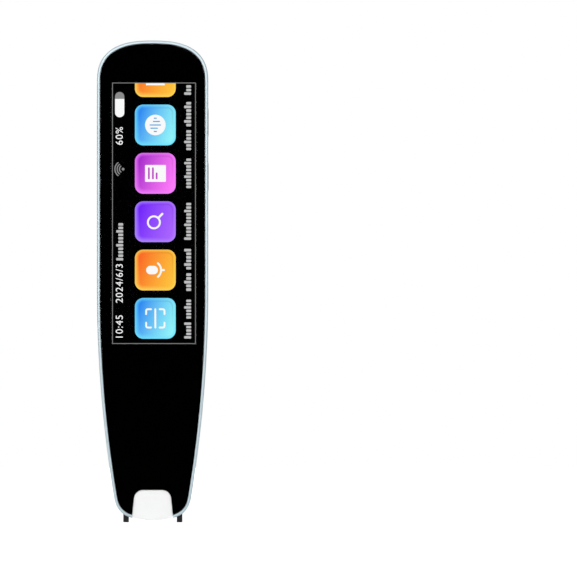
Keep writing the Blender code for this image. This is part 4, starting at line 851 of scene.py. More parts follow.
@dataclass(frozen=True)
class Housing:
    """The housing's outer form. Its reach comes from the frame: half its width, its flat back, the seam
    where the rear cover starts, the crown's tip, the nose's tip and the glass. Its curves are as in the
    solids.
    """

    half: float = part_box("rear_cover")[1].x
    back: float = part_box("rear_cover")[1].y
    seam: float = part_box("rear_cover")[0].y
    top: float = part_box("rear_cover")[1].z
    foot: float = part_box("nose_window")[0].z
    front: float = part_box("front_glass")[0].y
    nose_width: float = 24.04 * MM
    crown_height: float = 13.2 * MM
    crown_power: float = 2.6
    chin_height: float = 7.6 * MM
    chin_power: float = 3.0
    taper_top: float = 72.0 * MM
    taper_foot: float = 8.0 * MM
    flank: float = 6.6 * MM
    flank_chin: float = 4.6 * MM
    flank_power: float = 2.3
    nose_slim: float = 2.7 * MM
    nose_slim_top: float = 45.0 * MM
    wall: float = 1.4 * MM
    crown_steps: int = 34
    chin_steps: int = 24
    taper_steps: int = 30
    flank_steps: int = 18

    @property
    def chin_top(self) -> float:
        """The height at which the rounding of the nose starts."""
        return self.foot + self.chin_height

    @property
    def crown_base(self) -> float:
        """The height at which the rounding of the crown starts."""
        return self.top - self.crown_height

    def half_width(self, z: float, drawn: float = 0.0) -> float:
        """Half the width at a height, before the crown and the chin close it."""
        share = max(0.0, (self.taper_top - z) / (self.taper_top - self.taper_foot))
        return self.half - drawn - (self.half - self.nose_width / 2) * share**2

    def end_curve(self, base: float, height: float, power: float, steps: int, drawn: float) -> Outline:
        """Points from a straight side to the tip of a rounded end; a chin has a negative height."""
        points = []
        for step in range(steps):
            angle = math.pi / 2 * step / steps
            z = base + height * math.sin(angle) ** (2 / power)
            points.append((self.half_width(z, drawn) * math.cos(angle) ** (2 / power), z))
        return points + [(0.0, base + height)]

    def outline(self, side: float, crown: float, chin: float) -> Outline:
        """The outline drawn in by these amounts, from the chin up the right side and back."""
        low = self.end_curve(self.chin_top, chin - self.chin_height, self.chin_power, self.chin_steps, side)
        high = self.end_curve(
            self.crown_base, self.crown_height - crown, self.crown_power, self.crown_steps, side
        )
        reach = self.taper_top - self.chin_top
        rows = [self.chin_top + reach * (step + 1) / self.taper_steps for step in range(self.taper_steps)]
        right = low[::-1] + [(self.half_width(z, side), z) for z in rows] + high
        return right + [(-x, z) for x, z in right[-2:0:-1]]

    def even_ring(self, drawn: float, y: float) -> Ring:
        """The outline drawn in by the same amount all round, at a depth."""
        return [(x, y, z) for x, z in self.outline(drawn, drawn, drawn)]

    def slimming(self, z: float) -> float:
        """How much nearer the front the back lies at a height, as the nose thins."""
        return self.nose_slim * max(0.0, (self.nose_slim_top - z) / self.nose_slim_top) ** 2

    def flank_ring(self, offset: float, step: int) -> Ring:
        """One ring of the rolled flank, on a skin that lies this far inside the outer one."""
        angle = math.pi / 2 * step / self.flank_steps
        across = math.cos(angle) ** (2 / self.flank_power) if step < self.flank_steps else 0.0
        along = math.sin(angle) ** (2 / self.flank_power)
        insets = [offset + (f - offset) * (1 - across) for f in (self.flank, self.flank, self.flank_chin)]
        reach = self.back - offset - self.seam
        return [(x, self.seam + along * (reach - self.slimming(z)), z) for x, z in self.outline(*insets)]

    def flank_reach(self, offset: float, y: float) -> float:
        """How far out a skin of the flank lies at a depth, on the straight part of the sides."""
        along = (y - self.seam) / (self.back - offset - self.seam)
        across = (1 - along**self.flank_power) ** (1 / self.flank_power)
        return self.half - offset - (self.flank - offset) * (1 - across)

    def solid(self, name: str, offset: float, front: float | None = None, lip: float = 0.0) -> Object:
        """The housing's whole form, drawn in by an offset.

        Args:
            name: The object's name.
            offset: How far inside the outer skin it lies.
            front: A plane ahead of the seam to start from, or None for the seam.
            lip: The radius of the edge at the seam.

        Returns:
            The object.
        """
        rings = [self.even_ring(offset, front)] if front is not None else []
        rolled = [self.flank_ring(offset, step) for step in range(self.flank_steps + 1)]
        if lip:
            rings.append(self.even_ring(offset + lip, self.seam))
            rings.append(self.even_ring(offset + lip / 3, self.seam + lip / 3))
            rolled[0] = self.even_ring(offset, self.seam + lip)
        return loft(name, rings + rolled, Cap.STRIPS)


HOUSING = Housing()


@dataclass(frozen=True)
class Notch:
    """The notch in the nose, where the scan head looks out."""

    top: float = 10.2 * MM
    head_width: float = 11.0 * MM
    foot_width: float = 13.0 * MM
    radius: float = 2.8 * MM
    wall: float = 0.5 * MM
    window: Triple = (9.0 * MM, 3.6 * MM, 11.9 * MM)

    def outline(self, grow: float, foot: float) -> Outline:
        """The notch, grown or shrunk on its sides and top, and run down to a height."""
        lean = (self.foot_width - self.head_width) / 2 / (self.top - HOUSING.foot)
        head, top = self.head_width / 2 + grow, self.top + grow
        wide = head + lean * (top - foot)
        soft = self.radius + grow
        return rounded([(wide, foot, 0), (head, top, soft), (-head, top, soft), (-wide, foot, 0)])

    def tool(self, name: str, grow: float, low: float, high: float) -> Object:
        """A prism of the notch that runs out below the nose."""
        return plate(name, self.outline(grow, HOUSING.foot - OVERRUN), low, high)

    def light_window(self, name: str) -> Object:
        """The opening in the notch's roof that the camera looks through: its width, depth and top."""
        axis, (width, depth, top) = middle_of("camera_lens")[1], self.window
        low = (-width / 2, axis - depth / 2, self.top - self.radius)
        return block(name, low, (width / 2, axis + depth / 2, top))


NOTCH = Notch()


@dataclass
class CoverGlass:
    """The cover glass with its rounded edge, and what is bonded behind it: black print and display panel."""

    edge_inset: float = 0.95 * MM
    rounding: float = 0.3 * MM
    rounding_steps: int = 6
    bond: float = 0.005 * MM
    print_thickness: float = 0.05 * MM
    window_low: Pair = (-12.85 * MM, 55.4 * MM)
    window_high: Pair = (13.7 * MM, 137.1 * MM)

    def build(self) -> None:
        """Make the glass, its print and the display's panel."""
        low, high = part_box("front_glass")
        flat_edge = self.edge_inset + self.rounding + self.print_thickness
        rings = [HOUSING.even_ring(flat_edge, low.y)]
        for angle in turns(math.pi / 2, self.rounding_steps):
            drawn = self.edge_inset + self.rounding * (1 - math.sin(angle))
            rings.append(HOUSING.even_ring(drawn, low.y + self.rounding * (1 - math.cos(angle))))
        rings.append(HOUSING.even_ring(self.edge_inset, high.y))
        glass = loft("cover_glass", rings, Cap.STRIPS)
        cut(glass, NOTCH.tool("glass_notch", 0, low.y - OVERRUN, high.y + OVERRUN))
        settle(glass, COVER_GLASS, "front_glass", "front_glass")
        start = high.y - self.bond
        end = start + self.print_thickness
        reach = self.edge_inset - self.print_thickness
        printed = loft("black_print", [HOUSING.even_ring(reach, y) for y in (start, end)], Cap.STRIPS)
        window = plate(
            "screen_window", rectangle(self.window_low, self.window_high), start - OVERRUN, end + OVERRUN
        )
        notch = NOTCH.tool("print_notch", self.print_thickness, start - OVERRUN, end + OVERRUN)
        cut(printed, window, notch)
        settle(printed, PRINT_BLACK, "front_glass", smooth=False)
        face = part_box("screen_module")[0].y
        display = inset(rectangle(self.window_low, self.window_high), self.print_thickness)
        panel = plate("display_panel", display, start, face - self.print_thickness)
        settle(panel, PANEL_BLACK, "screen", smooth=False)


@dataclass
class SideFrame:
    """The pale ring round the glass, with its rounded rim, glass pocket, ledge and tongue."""

    rim_width: float = 0.85 * MM
    rim_drop: float = 1.5 * MM
    rim_behind_glass: float = 0.05 * MM
    rim_power: float = 2.6
    rim_steps: int = 14
    back_edge: float = 0.12 * MM
    depth: float = 2.9 * MM
    seat_depth: float = 1.05 * MM
    tongue_length: float = 1.1 * MM
    tongue_inset: float = 1.6 * MM
    tongue_wall: float = 0.8 * MM
    wall_shy: float = 0.1 * MM
    tongue_fit: float = 0.2 * MM

    def profile(self) -> list[Pair]:
        """The ring's section: how far in each line lies, and its depth."""
        front = HOUSING.front
        back, seat = front + self.depth, front + self.seat_depth
        line = []
        for step in range(self.rim_steps + 1):
            angle = math.pi / 2 * step / self.rim_steps
            rise = (self.rim_drop - self.rim_behind_glass) * math.sin(angle) ** (2 / self.rim_power)
            across = math.cos(angle) ** (2 / self.rim_power) if step < self.rim_steps else 0.0
            line.append((self.rim_width * (1 - across), front + self.rim_drop - rise))
        ledge = self.tongue_inset + self.tongue_wall
        line += [(self.rim_width, seat), (ledge, seat), (ledge, back + self.tongue_length)]
        line += [(self.tongue_inset, back + self.tongue_length), (self.tongue_inset, back)]
        edge = self.back_edge
        return line + [(edge, back), (edge / 3, back - edge / 3), (0.0, back - edge)]

    def build(self) -> None:
        """Make the ring with its wall round the notch."""
        rings = [HOUSING.even_ring(drawn, y) for drawn, y in self.profile()]
        ring = loft("side_ring", rings, Cap.HOOP)
        back = HOUSING.front + self.depth
        wall_low, wall_high = HOUSING.front + self.seat_depth + self.wall_shy, back - self.wall_shy
        wall = NOTCH.tool("notch_wall", NOTCH.wall, wall_low, wall_high)
        bounds = [HOUSING.even_ring(self.rim_width, y) for y in (wall_low - OVERRUN, wall_high + OVERRUN)]
        clip(wall, loft("wall_bounds", bounds, Cap.STRIPS))
        join(ring, wall)
        tongue_end = back - self.wall_shy / 2
        grow = NOTCH.wall + self.tongue_fit
        tools = [
            NOTCH.tool("tongue_clearance", grow, tongue_end, back + OVERRUN),
            NOTCH.tool("ring_notch", 0, HOUSING.front - OVERRUN, back + OVERRUN),
            NOTCH.light_window("ring_light_window"),
        ]
        cut(ring, *tools)
        settle(ring, PALE_METAL, "pale_metal", "side_frame")


@dataclass
class RearCover:
    """The moulded black back: a rolled shell with openings for grille, keys, socket, nose and feet."""

    lip: float = 0.14 * MM
    mouth: float = 0.05 * MM
    grille_groove: float = 0.66 * MM
    grille_seat: float = 1.9 * MM
    grille_gap: float = 0.3 * MM
    pinhole_radius: float = 0.55 * MM
    mesh_shy: float = 0.03 * MM
    mesh_thickness: float = 0.1 * MM
    surround_fit: float = 0.02 * MM
    plate_gap: float = 0.1 * MM
    key_clearance: float = 0.15 * MM
    leg_clearance: float = 0.15 * MM
    travel: float = 0.6 * MM

    def build(self) -> None:
        """Make the shell and cut its openings."""
        cover = HOUSING.solid("rear_shell", 0, lip=self.lip)
        cavity = HOUSING.solid("cover_cavity", HOUSING.wall, front=HOUSING.seam - OVERRUN)
        notch_reach = (HOUSING.front - OVERRUN, HOUSING.back + OVERRUN)
        cut(cavity, NOTCH.tool("cavity_notch", NOTCH.wall, *notch_reach))
        tools = [cavity, NOTCH.tool("cover_notch", 0, *notch_reach)]
        tools += [NOTCH.light_window("cover_light_window"), *self.speaker_tools(), self.pinhole()]
        tools.append(INLET.opening(self.surround_fit))
        tools.append(NosePlate().form("plate_recess", -self.plate_gap, self.plate_gap))
        # The step round the notch for the seal whose near-black is painted shade.
        tools.append(NOSE.collar("shade_seal_step", NOSE.shade_seal_width, NOSE.shade_seal_sink + NOSE.shade_seal_thickness))
        inner = HOUSING.half - OVERRUN
        tools += [key.prism(key.name + "_opening", self.key_clearance, inner) for key in KEYS]
        tools += [TRIGGER.slot(side, sign, self.leg_clearance, self.travel) for side, sign in SIDES]
        cut(cover, *tools)
        settle(cover, BLACK_PLASTIC, "black_plastic", "rear_cover")
        self.build_pinhole_mesh()

    def speaker_tools(self) -> list[Object]:
        """The round recess for the grille, with a soft mouth, and the opening behind it."""
        low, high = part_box("speaker_grille")
        middle = (0, 0, middle_of("speaker_grille")[2])
        radius = (high.x - low.x) / 2
        wide = radius + self.grille_groove
        back = HOUSING.back
        recess = [(wide, low.y - self.grille_gap), (wide, back - self.mouth)]
        recess += [(wide + self.mouth, back), (wide + self.mouth, back + OVERRUN)]
        narrow = radius - self.grille_seat
        opening = [(narrow, back - HOUSING.wall - OVERRUN), (narrow, back + OVERRUN)]
        return [lathe("grille_recess", recess, middle), lathe("speaker_opening", opening, middle)]

    def pinhole(self) -> Object:
        """The microphone's hole in the side."""
        reach = [(self.pinhole_radius, -OVERRUN), (self.pinhole_radius, OVERRUN)]
        middle = (HOUSING.half, *middle_of("microphone")[1:])
        return lathe("pinhole", reach, middle, 32, Axis.X)

    def build_pinhole_mesh(self) -> None:
        """Make the fine mesh that lies in the microphone's hole, just outside the microphone."""
        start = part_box("microphone")[1].x + self.mesh_shy
        line = circle(self.pinhole_radius - self.mesh_shy, 32)
        place = middle_of("microphone")[1:]
        disc = plate("pinhole_mesh", line, start, start + self.mesh_thickness, Axis.X, place)
        settle(disc, MESH_BLACK, "mesh_black", smooth=False)


@dataclass
class SpeakerFace:
    """The flat round grille with its three rings of holes, and the foam ring behind it."""

    ring_radii: tuple[float, ...] = (3.83 * MM, 5.76 * MM, 7.65 * MM)
    ring_counts: tuple[int, ...] = (16, 16, 8)
    hole_radius: float = 0.5 * MM
    hole_chamfer: float = 0.07 * MM
    edge: float = 0.05 * MM
    shade_seal_width: float = 0.64 * MM
    shade_seal_sink: float = 0.15 * MM
    foam_width: float = 1.1 * MM
    foam_crown: float = 0.06 * MM
    foam_shares: tuple[float, ...] = (0.0, 0.15, 0.5, 0.85, 1.0)
    foam_fill: float = 0.9

    def build(self) -> None:
        """Make the grille and the foam ring."""
        low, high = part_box("speaker_grille")
        place = (0.0, middle_of("speaker_grille")[2])
        radius = (high.x - low.x) / 2
        line = circle(radius, 128)
        disc = plate("grille_disc", line, low.y, high.y, place=place, rounding=self.edge)
        chamfer, hole = self.hole_chamfer, self.hole_radius
        profile = [(hole, low.y - OVERRUN), (hole, high.y - chamfer)]
        profile += [(hole + chamfer, high.y), (hole + chamfer, high.y + OVERRUN)]
        drills = []
        for reach, count in zip(self.ring_radii, self.ring_counts):
            for x, z in circle(reach, count):
                drills.append(lathe("drill", profile, (x, 0, place[1] + z), 24))
        cut(disc, merge("drills", drills))
        settle(disc, BLACK_PLASTIC, "black_plastic", "speaker_grille")
        # A seal in the groove round the grille, near-black as painted shade for the groove's dark line.
        outer = circle(radius + self.shade_seal_width, 128)
        shade_seal = band("grille_shade_seal", outer, line, low.y, high.y - self.shade_seal_sink, place)
        settle(shade_seal, SHADE_SEAL_BLACK, "black_plastic")
        self.build_foam()

    def build_foam(self) -> None:
        """Make the foam ring, with its faces crowned a little between its edges."""
        low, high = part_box("speaker_gasket")
        outer, half = (high.x - low.x) / 2, (high.y - low.y) / 2
        middle_y, middle_z = middle_of("speaker_gasket")[1:]
        profile = []
        for sign in (1, -1):
            for share in self.foam_shares[::sign]:
                height = half - self.foam_crown * (2 * share - 1) ** 2
                profile.append((outer - self.foam_width * share, middle_y + sign * height))
        rings = [[(x, y, middle_z + z) for x, z in circle(radius, 96)] for radius, y in profile]
        foam = loft("foam_ring", rings, Cap.HOOP)
        settle(foam, FOAM, "foam", "speaker_gasket")


@dataclass
class NosePlate:
    """The small trim plate between the notch and the body's back."""

    width: float = 11.4 * MM
    height: float = 4.0 * MM
    raised: float = 0.4 * MM
    thickness: float = 0.6 * MM
    recess: float = 0.05 * MM
    edge: float = 0.1 * MM

    def form(self, name: str, shrink: float, deeper: float, clipped: bool = False) -> Object:
        """The plate's form, this much smaller all round and this much deeper."""
        wide, foot = self.width / 2 - shrink, NOTCH.top + self.raised
        low = (-wide, 0.0, foot + shrink)
        form = block(name, low, (wide, HOUSING.back + OVERRUN, foot + self.height - shrink))
        if clipped:
            clip(form, HOUSING.solid(name + "_skin", self.recess))
        floor = HOUSING.solid(name + "_floor", self.recess + self.thickness + deeper)
        return cut(form, floor)

    def build(self) -> None:
        """Make the plate with soft edges."""
        made = soften(self.form("trim_plate", 0.0, 0.0, clipped=True), self.edge)
        settle(made, TRIM_BLACK, "trim_black", "nose_plate")


@dataclass
class Nose:
    """The frosted window and the clear hood in the notch, the seal round them, whose near-black paints the
    shade of a dark outline, and the centre mark.
    """

    fit: float = 0.15 * MM
    window_fit: float = 0.04 * MM
    shade_seal_width: float = 0.24 * MM
    shade_seal_sink: float = 0.1 * MM
    shade_seal_thickness: float = 0.6 * MM
    shy: float = 0.02 * MM
    foot_sag: float = 0.9 * MM
    foot_steps: int = 24
    recess: float = 0.15 * MM
    wall: float = 0.8 * MM
    edge: float = 0.15 * MM
    slot_depth: float = 3.4 * MM
    mark_width: float = 0.6 * MM
    mark_height: float = 4.1 * MM
    mark_depth: float = 0.3 * MM
    mark_taper: float = 0.6

    def outline(self, fit: float) -> Outline:
        """The notch less a fit, closed below by the curved edge of the nose."""
        sides = NOTCH.outline(-fit, HOUSING.foot + self.foot_sag)
        wide = sides[0][0]
        shares = [1 - 2 * step / self.foot_steps for step in range(1, self.foot_steps)]
        return sides + [(-wide * share, HOUSING.foot + self.foot_sag * share**2) for share in shares]

    def build(self) -> None:
        """Make the window, the hood and the mark."""
        low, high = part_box("nose_window")
        window = plate("front_window", self.outline(self.window_fit), low.y, high.y, rounding=self.edge)
        settle(window, FROSTED_PLASTIC, "frosted_plastic", "nose_window")
        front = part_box("nose_hood")[0].y
        hood = plate("clear_hood", self.outline(self.fit), front, HOUSING.back)
        skin = HOUSING.solid("hood_skin", self.recess, front=HOUSING.front)
        clip(hood, skin)
        hollow_line = NOTCH.outline(-self.fit - self.wall, HOUSING.foot - OVERRUN)
        hollow = plate("hood_hollow", hollow_line, front - OVERRUN, HOUSING.back)
        inner = HOUSING.solid("hood_inner", self.recess + self.wall, front=HOUSING.front - 2 * OVERRUN)
        clip(hollow, inner)
        reach = NOTCH.head_width / 2 - self.wall
        slot_low = (-reach, front + self.wall, HOUSING.foot - OVERRUN)
        slot_high = (reach, front + self.wall + self.slot_depth, HOUSING.foot + HOUSING.chin_height / 2)
        tools = [hollow, block("scan_slot", slot_low, slot_high), self.mark_tool("mark_groove", 0.0)]
        cut(hood, *tools)
        settle(hood, CLEAR_PLASTIC, "clear_plastic", "nose_hood")
        self.build_shade_seal()
        self.build_mark()

    def collar(self, name: str, grow: float, depth: float) -> Object:
        """The notch's form, grown by an amount, from this far below the cover's skin outwards."""
        form = NOTCH.tool(name, grow, 0.0, HOUSING.back + OVERRUN)
        return cut(form, HOUSING.solid(name + "_floor", depth, front=HOUSING.front))

    def build_shade_seal(self) -> None:
        """Make the seal in the step round the notch, near-black as painted shade for the notch's dark
        outline.
        """
        depth = self.shade_seal_sink + self.shade_seal_thickness
        shade_seal = self.collar("nose_shade_seal", self.shade_seal_width - self.shy, depth - self.shy)
        clip(shade_seal, HOUSING.solid("seal_skin", self.shade_seal_sink, front=HOUSING.front))
        hole = NOTCH.tool("shade_seal_hole", self.shy - self.fit, -OVERRUN, HOUSING.back + OVERRUN)
        cut(shade_seal, hole)
        settle(shade_seal, SHADE_SEAL_BLACK, "black_plastic")

    def mark_tool(self, name: str, shrink: float) -> Object:
        """The groove's form behind the hood's face, this much narrower on each side."""
        half = self.mark_width / 2 - shrink
        low = (-half, 0.0, HOUSING.foot - OVERRUN)
        groove = block(name, low, (half, HOUSING.back + OVERRUN, HOUSING.foot + self.mark_height))
        floor = HOUSING.solid(name + "_floor", self.recess + self.mark_depth, front=HOUSING.front)
        return cut(groove, floor)

    def build_mark(self) -> None:
        """Make the ink that fills the groove, tapered towards its top."""
        ink = self.mark_tool("mark_paint", self.shy)
        skin = HOUSING.solid("mark_skin", self.recess + self.shy, front=HOUSING.front)
        clip(ink, skin)
        half, foot = self.mark_width / 2, HOUSING.foot
        thin, top = half * self.mark_taper, foot + self.mark_height
        taper = [(-half, foot), (half, foot), (thin, top), (-thin, top)]
        clip(ink, plate("mark_taper", taper, 0, HOUSING.back + OVERRUN))
        settle(ink, MARK_INK, "key_black", smooth=False)


@dataclass
class SideKey:
    """A side key: a cap that follows the flank, and a flange that keeps it in."""

    name: str
    body: str
    length: float = 9.9 * MM
    width: float = 3.2 * MM
    proud: float = 0.21 * MM
    edge: float = 0.14 * MM
    flange_length: float = 12.3 * MM
    flange_width: float = 1.6 * MM
    flange_thickness: float = 0.7 * MM
    flange_edge: float = 0.1 * MM
    gap: float = 0.3 * MM

    @property
    def middle(self) -> Pair:
        """The key's middle: its depth and its height."""
        return middle_of(self.name)[1:]

    def prism(self, name: str, grow: float, inner: float) -> Object:
        """The key's round-ended form along X, grown by a clearance, from an inner plane outwards."""
        line = stadium(self.length + 2 * grow, self.width + 2 * grow)
        return plate(name, line, inner, HOUSING.half + OVERRUN, Axis.X, self.middle)

    def build(self) -> None:
        """Make the cap and its flange."""
        y, z = self.middle
        outer = HOUSING.flank_reach(HOUSING.wall, y + self.flange_width / 2) - self.gap
        inner = outer - self.flange_thickness
        cap = self.prism(self.name + "_cap", 0.0, inner + self.flange_thickness / 2)
        clip(cap, HOUSING.solid("key_skin", -self.proud))
        soften(cap, self.edge)
        half, reach = self.flange_width / 2, self.flange_length / 2
        low, high = (inner, y - half, z - reach), (outer, y + half, z + reach)
        flange = block("flange", low, high, self.flange_edge)
        join(cap, flange)
        settle(cap, KEY_BLACK, "key_black", self.name, body=self.body)


@dataclass
class ScanTrigger:
    """The scan trigger: one moulding of a yoke, two legs that end in the feet, and two pegs."""

    spacing: float = 16.7 * MM
    foot_width: float = 1.75 * MM
    foot_depth: float = 1.9 * MM
    foot_edge: float = 0.2 * MM
    leg_width: float = 2.2 * MM
    leg_foot: float = 1.9 * MM
    leg_top: float = 8.7 * MM
    leg_front: float = 0.3 * MM
    leg_recess: float = 0.15 * MM
    leg_edge: float = 0.12 * MM
    yoke_leg_width: float = 1.6 * MM
    yoke_foot: float = 11.9 * MM
    yoke_height: float = 2.2 * MM
    yoke_thickness: float = 1.2 * MM
    peg_spacing: float = 12.0 * MM
    peg_radius: float = 0.45 * MM
    peg_height: float = 1.2 * MM

    def leg_outline(self, x: float, width: float, foot: float, top: float, steps: int = 20) -> Outline:
        """A leg seen from the back: square at its foot and round at its top."""
        reach = width / 2
        angles = turns(math.pi, steps)
        arc = [(x + reach * math.cos(a), top - reach + reach * math.sin(a)) for a in angles]
        return [(x - reach, foot), (x + reach, foot)] + arc

    def slot(self, side: str, sign: int, clearance: float, travel: float) -> Object:
        """The slot in the rear cover that a leg lies in, long enough for the leg's travel."""
        width = self.leg_width + 2 * clearance
        top = self.leg_top + travel + clearance
        line = self.leg_outline(sign * self.spacing / 2, width, HOUSING.foot - OVERRUN, top)
        return plate(side + "_slot", line, self.leg_front - clearance, HOUSING.back + OVERRUN)

    def arch(self, foot: float) -> Outline:
        """The yoke's outline, which bridges the notch."""
        outer = (self.spacing + self.yoke_leg_width) / 2
        inner = outer - self.yoke_leg_width
        top = self.yoke_foot + self.yoke_height
        right = [(outer, foot), (outer, top)]
        left = [(-outer, top), (-outer, foot), (-inner, foot), (-inner, self.yoke_foot)]
        return right + left + [(inner, self.yoke_foot), (inner, foot)]

    def build(self) -> None:
        """Make the moulding."""
        foot = (self.leg_foot + self.leg_top) / 2
        front = self.leg_front + self.leg_recess
        back = front + self.yoke_thickness
        trigger = plate("scan_feet", self.arch(foot), front, back)
        joined = []
        for side, sign in SIDES:
            x = sign * self.spacing / 2
            line = self.leg_outline(x, self.leg_width, self.leg_foot, self.leg_top)
            leg = plate(side + "_leg", line, self.leg_front, HOUSING.back)
            clip(leg, HOUSING.solid("leg_skin", self.leg_recess))
            soften(leg, self.leg_edge)
            shoe_front = self.leg_front + 2 * self.leg_recess
            low = (x - self.foot_width / 2, shoe_front, 0.0)
            high = (x + self.foot_width / 2, shoe_front + self.foot_depth, foot + self.leg_recess)
            joined += [leg, block(side + "_shoe", low, high, self.foot_edge)]
            peg = [(self.peg_radius, self.yoke_foot + self.yoke_height / 2)]
            peg.append((self.peg_radius, self.yoke_foot + self.yoke_height + self.peg_height))
            middle = (sign * self.peg_spacing / 2, (front + back) / 2, 0)
            joined.append(lathe(side + "_peg", peg, middle, 24, Axis.Z))
        join(trigger, *joined)
        settle(trigger, FOOT_GREY, "foot_grey", "scan_trigger", body="trigger")


@dataclass
class ReturnSpring:
    """A coil between the yoke and the bracket, made at rest. Its foot follows the scan trigger and its head
    stays.
    """

    name: str
    wire: float = 0.15 * MM
    turns: int = 5
    steps: int = 24
    sides: int = 10
    closed_share: float = 0.15
    closed_rise: float = 0.05

    def rise(self, share: float) -> float:
        """How far up the coil has come after a share of its turns: slowly in its closed ends."""
        if share > 0.5:
            return 1 - self.rise(1 - share)
        if share < self.closed_share:
            return self.closed_rise * share / self.closed_share
        past = (share - self.closed_share) / (0.5 - self.closed_share)
        return self.closed_rise + (0.5 - self.closed_rise) * past

    def build(self) -> None:
        """Make the coil at rest."""
        low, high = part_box(self.name)
        middle = (low + high) / 2
        radius = (high.x - low.x) / 2 - self.wire
        foot, reach = low.z + self.wire, high.z - low.z - 2 * self.wire
        count = self.turns * self.steps
        rings = []
        for step in range(count + 1):
            share = step / count
            angle, height = math.tau * self.turns * share, foot + reach * self.rise(share)
            x, y = math.cos(angle), math.sin(angle)
            rings.append([
                (middle.x + (radius + a) * x, middle.y + (radius + a) * y, height + b)
                for a, b in circle(self.wire, self.sides)
            ])
        coil = loft(self.name.replace("spring", "coil"), rings)
        coil.data.materials.append(material_of(STEEL))
        coil.data.shade_smooth()
        coil.data.set_sharp_from_angle(angle=SHARP_ANGLE * 2)
        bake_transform(coil)
        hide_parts(self.name)


NOSE = Nose()
TRIGGER = ScanTrigger()
SPRINGS = (ReturnSpring("left_return_spring"), ReturnSpring("right_return_spring"))
KEYS = (SideKey("power_key", "power_button"), SideKey("function_key", "function_button"))


@dataclass
class ChargingInlet:
    """The charging socket's stamped shell, the contacts on its tongue and the surround in the crown."""

    surround_gap: float = 0.1 * MM
    surround_width: float = 0.6 * MM
    surround_height: float = 2.2 * MM
    surround_sink: float = 1.05 * MM
    surround_edges: Pair = (0.4 * MM, 0.12 * MM)
    wall: float = 0.3 * MM
    edges: Pair = (0.08 * MM, 0.08 * MM)
    contact_count: int = 12
    contact_pitch: float = 0.5 * MM
    contact_width: float = 0.28 * MM
    contact_length: float = 3.0 * MM
    contact_rise: float = 0.02 * MM
    contact_inset: float = 0.5 * MM
    tongue_thickness: float = 0.7 * MM

    def line(self, grow: float) -> Outline:
        """The socket's outline seen from above, grown by an amount."""
        low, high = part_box("charging_socket")
        line = stadium(high.x - low.x + 2 * grow, high.y - low.y + 2 * grow)
        return [(b, a + middle_of("charging_socket")[1]) for a, b in line]

    def sleeve(self, name: str, outer: float, inner: float, low: float, high: float, edges: Pair) -> Object:
        """A sleeve round the plug's way, between two outlines and two heights, with its upper edges cut."""
        levels = [(outer, low), (outer, high - edges[0]), (outer - edges[0], high), (inner + edges[1], high)]
        levels += [(inner, high - edges[1]), (inner, low)]
        rings = [[(x, y, z) for x, y in self.line(grow)] for grow, z in levels]
        return loft(name, rings, Cap.HOOP)

    def opening(self, fit: float) -> Object:
        """The opening in the crown that the surround sits in."""
        grow = self.surround_gap + self.surround_width + fit
        foot = HOUSING.top - OVERRUN
        return plate("inlet_opening", self.line(grow), foot, HOUSING.top + OVERRUN, Axis.Z)

    def build(self) -> None:
        """Make the shell, the surround and the contacts."""
        low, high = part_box("charging_socket")
        shell = self.sleeve("socket_shell", 0.0, -self.wall, low.z, high.z, self.edges)
        settle(shell, STEEL, "steel", "charging_socket")
        gap, top = self.surround_gap, HOUSING.top - self.surround_sink
        reach = (gap + self.surround_width, gap, top - self.surround_height, top)
        surround = self.sleeve("inlet_surround", *reach, self.surround_edges)
        settle(surround, BLACK_PLASTIC, "black_plastic")
        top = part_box("socket_tongue")[1].z - self.contact_inset
        half, foot = self.contact_width / 2, top - self.contact_length
        pads = []
        for side in (-1, 1):
            face = middle_of("charging_socket")[1] + side * self.tongue_thickness / 2
            for step in range(self.contact_count):
                x = (step - (self.contact_count - 1) / 2) * self.contact_pitch
                near, far = sorted((face, face + side * self.contact_rise))
                pads.append(block("pad", (x - half, near, foot), (x + half, far, top)))
        settle(merge("socket_contacts", pads), CONTACT_GOLD, "steel", smooth=False)


INLET = ChargingInlet()


# The screen's picture

@dataclass(frozen=True)
class Tile:
    """One tile of the menu: its name, the colours of its two sides and the colour of its bright edge."""

    name: str
    first: Triple
    second: Triple
    edge: Triple


BLUE = (shown(50, 140, 242), shown(146, 246, 250), shown(112, 226, 255))
ORANGE = (shown(252, 108, 40), shown(255, 195, 62), shown(255, 216, 92))
VIOLET = (shown(116, 40, 250), shown(172, 102, 255), shown(178, 138, 255))
MAGENTA = (shown(172, 48, 206), shown(255, 122, 250), shown(244, 130, 255))
TILES = (
    Tile("scan_tile", *BLUE),
    Tile("voice_tile", *ORANGE),
    Tile("search_tile", *VIOLET),
    Tile("page_tile", *MAGENTA),
    Tile("sound_tile", *BLUE),
    Tile("last_tile", *ORANGE),
)


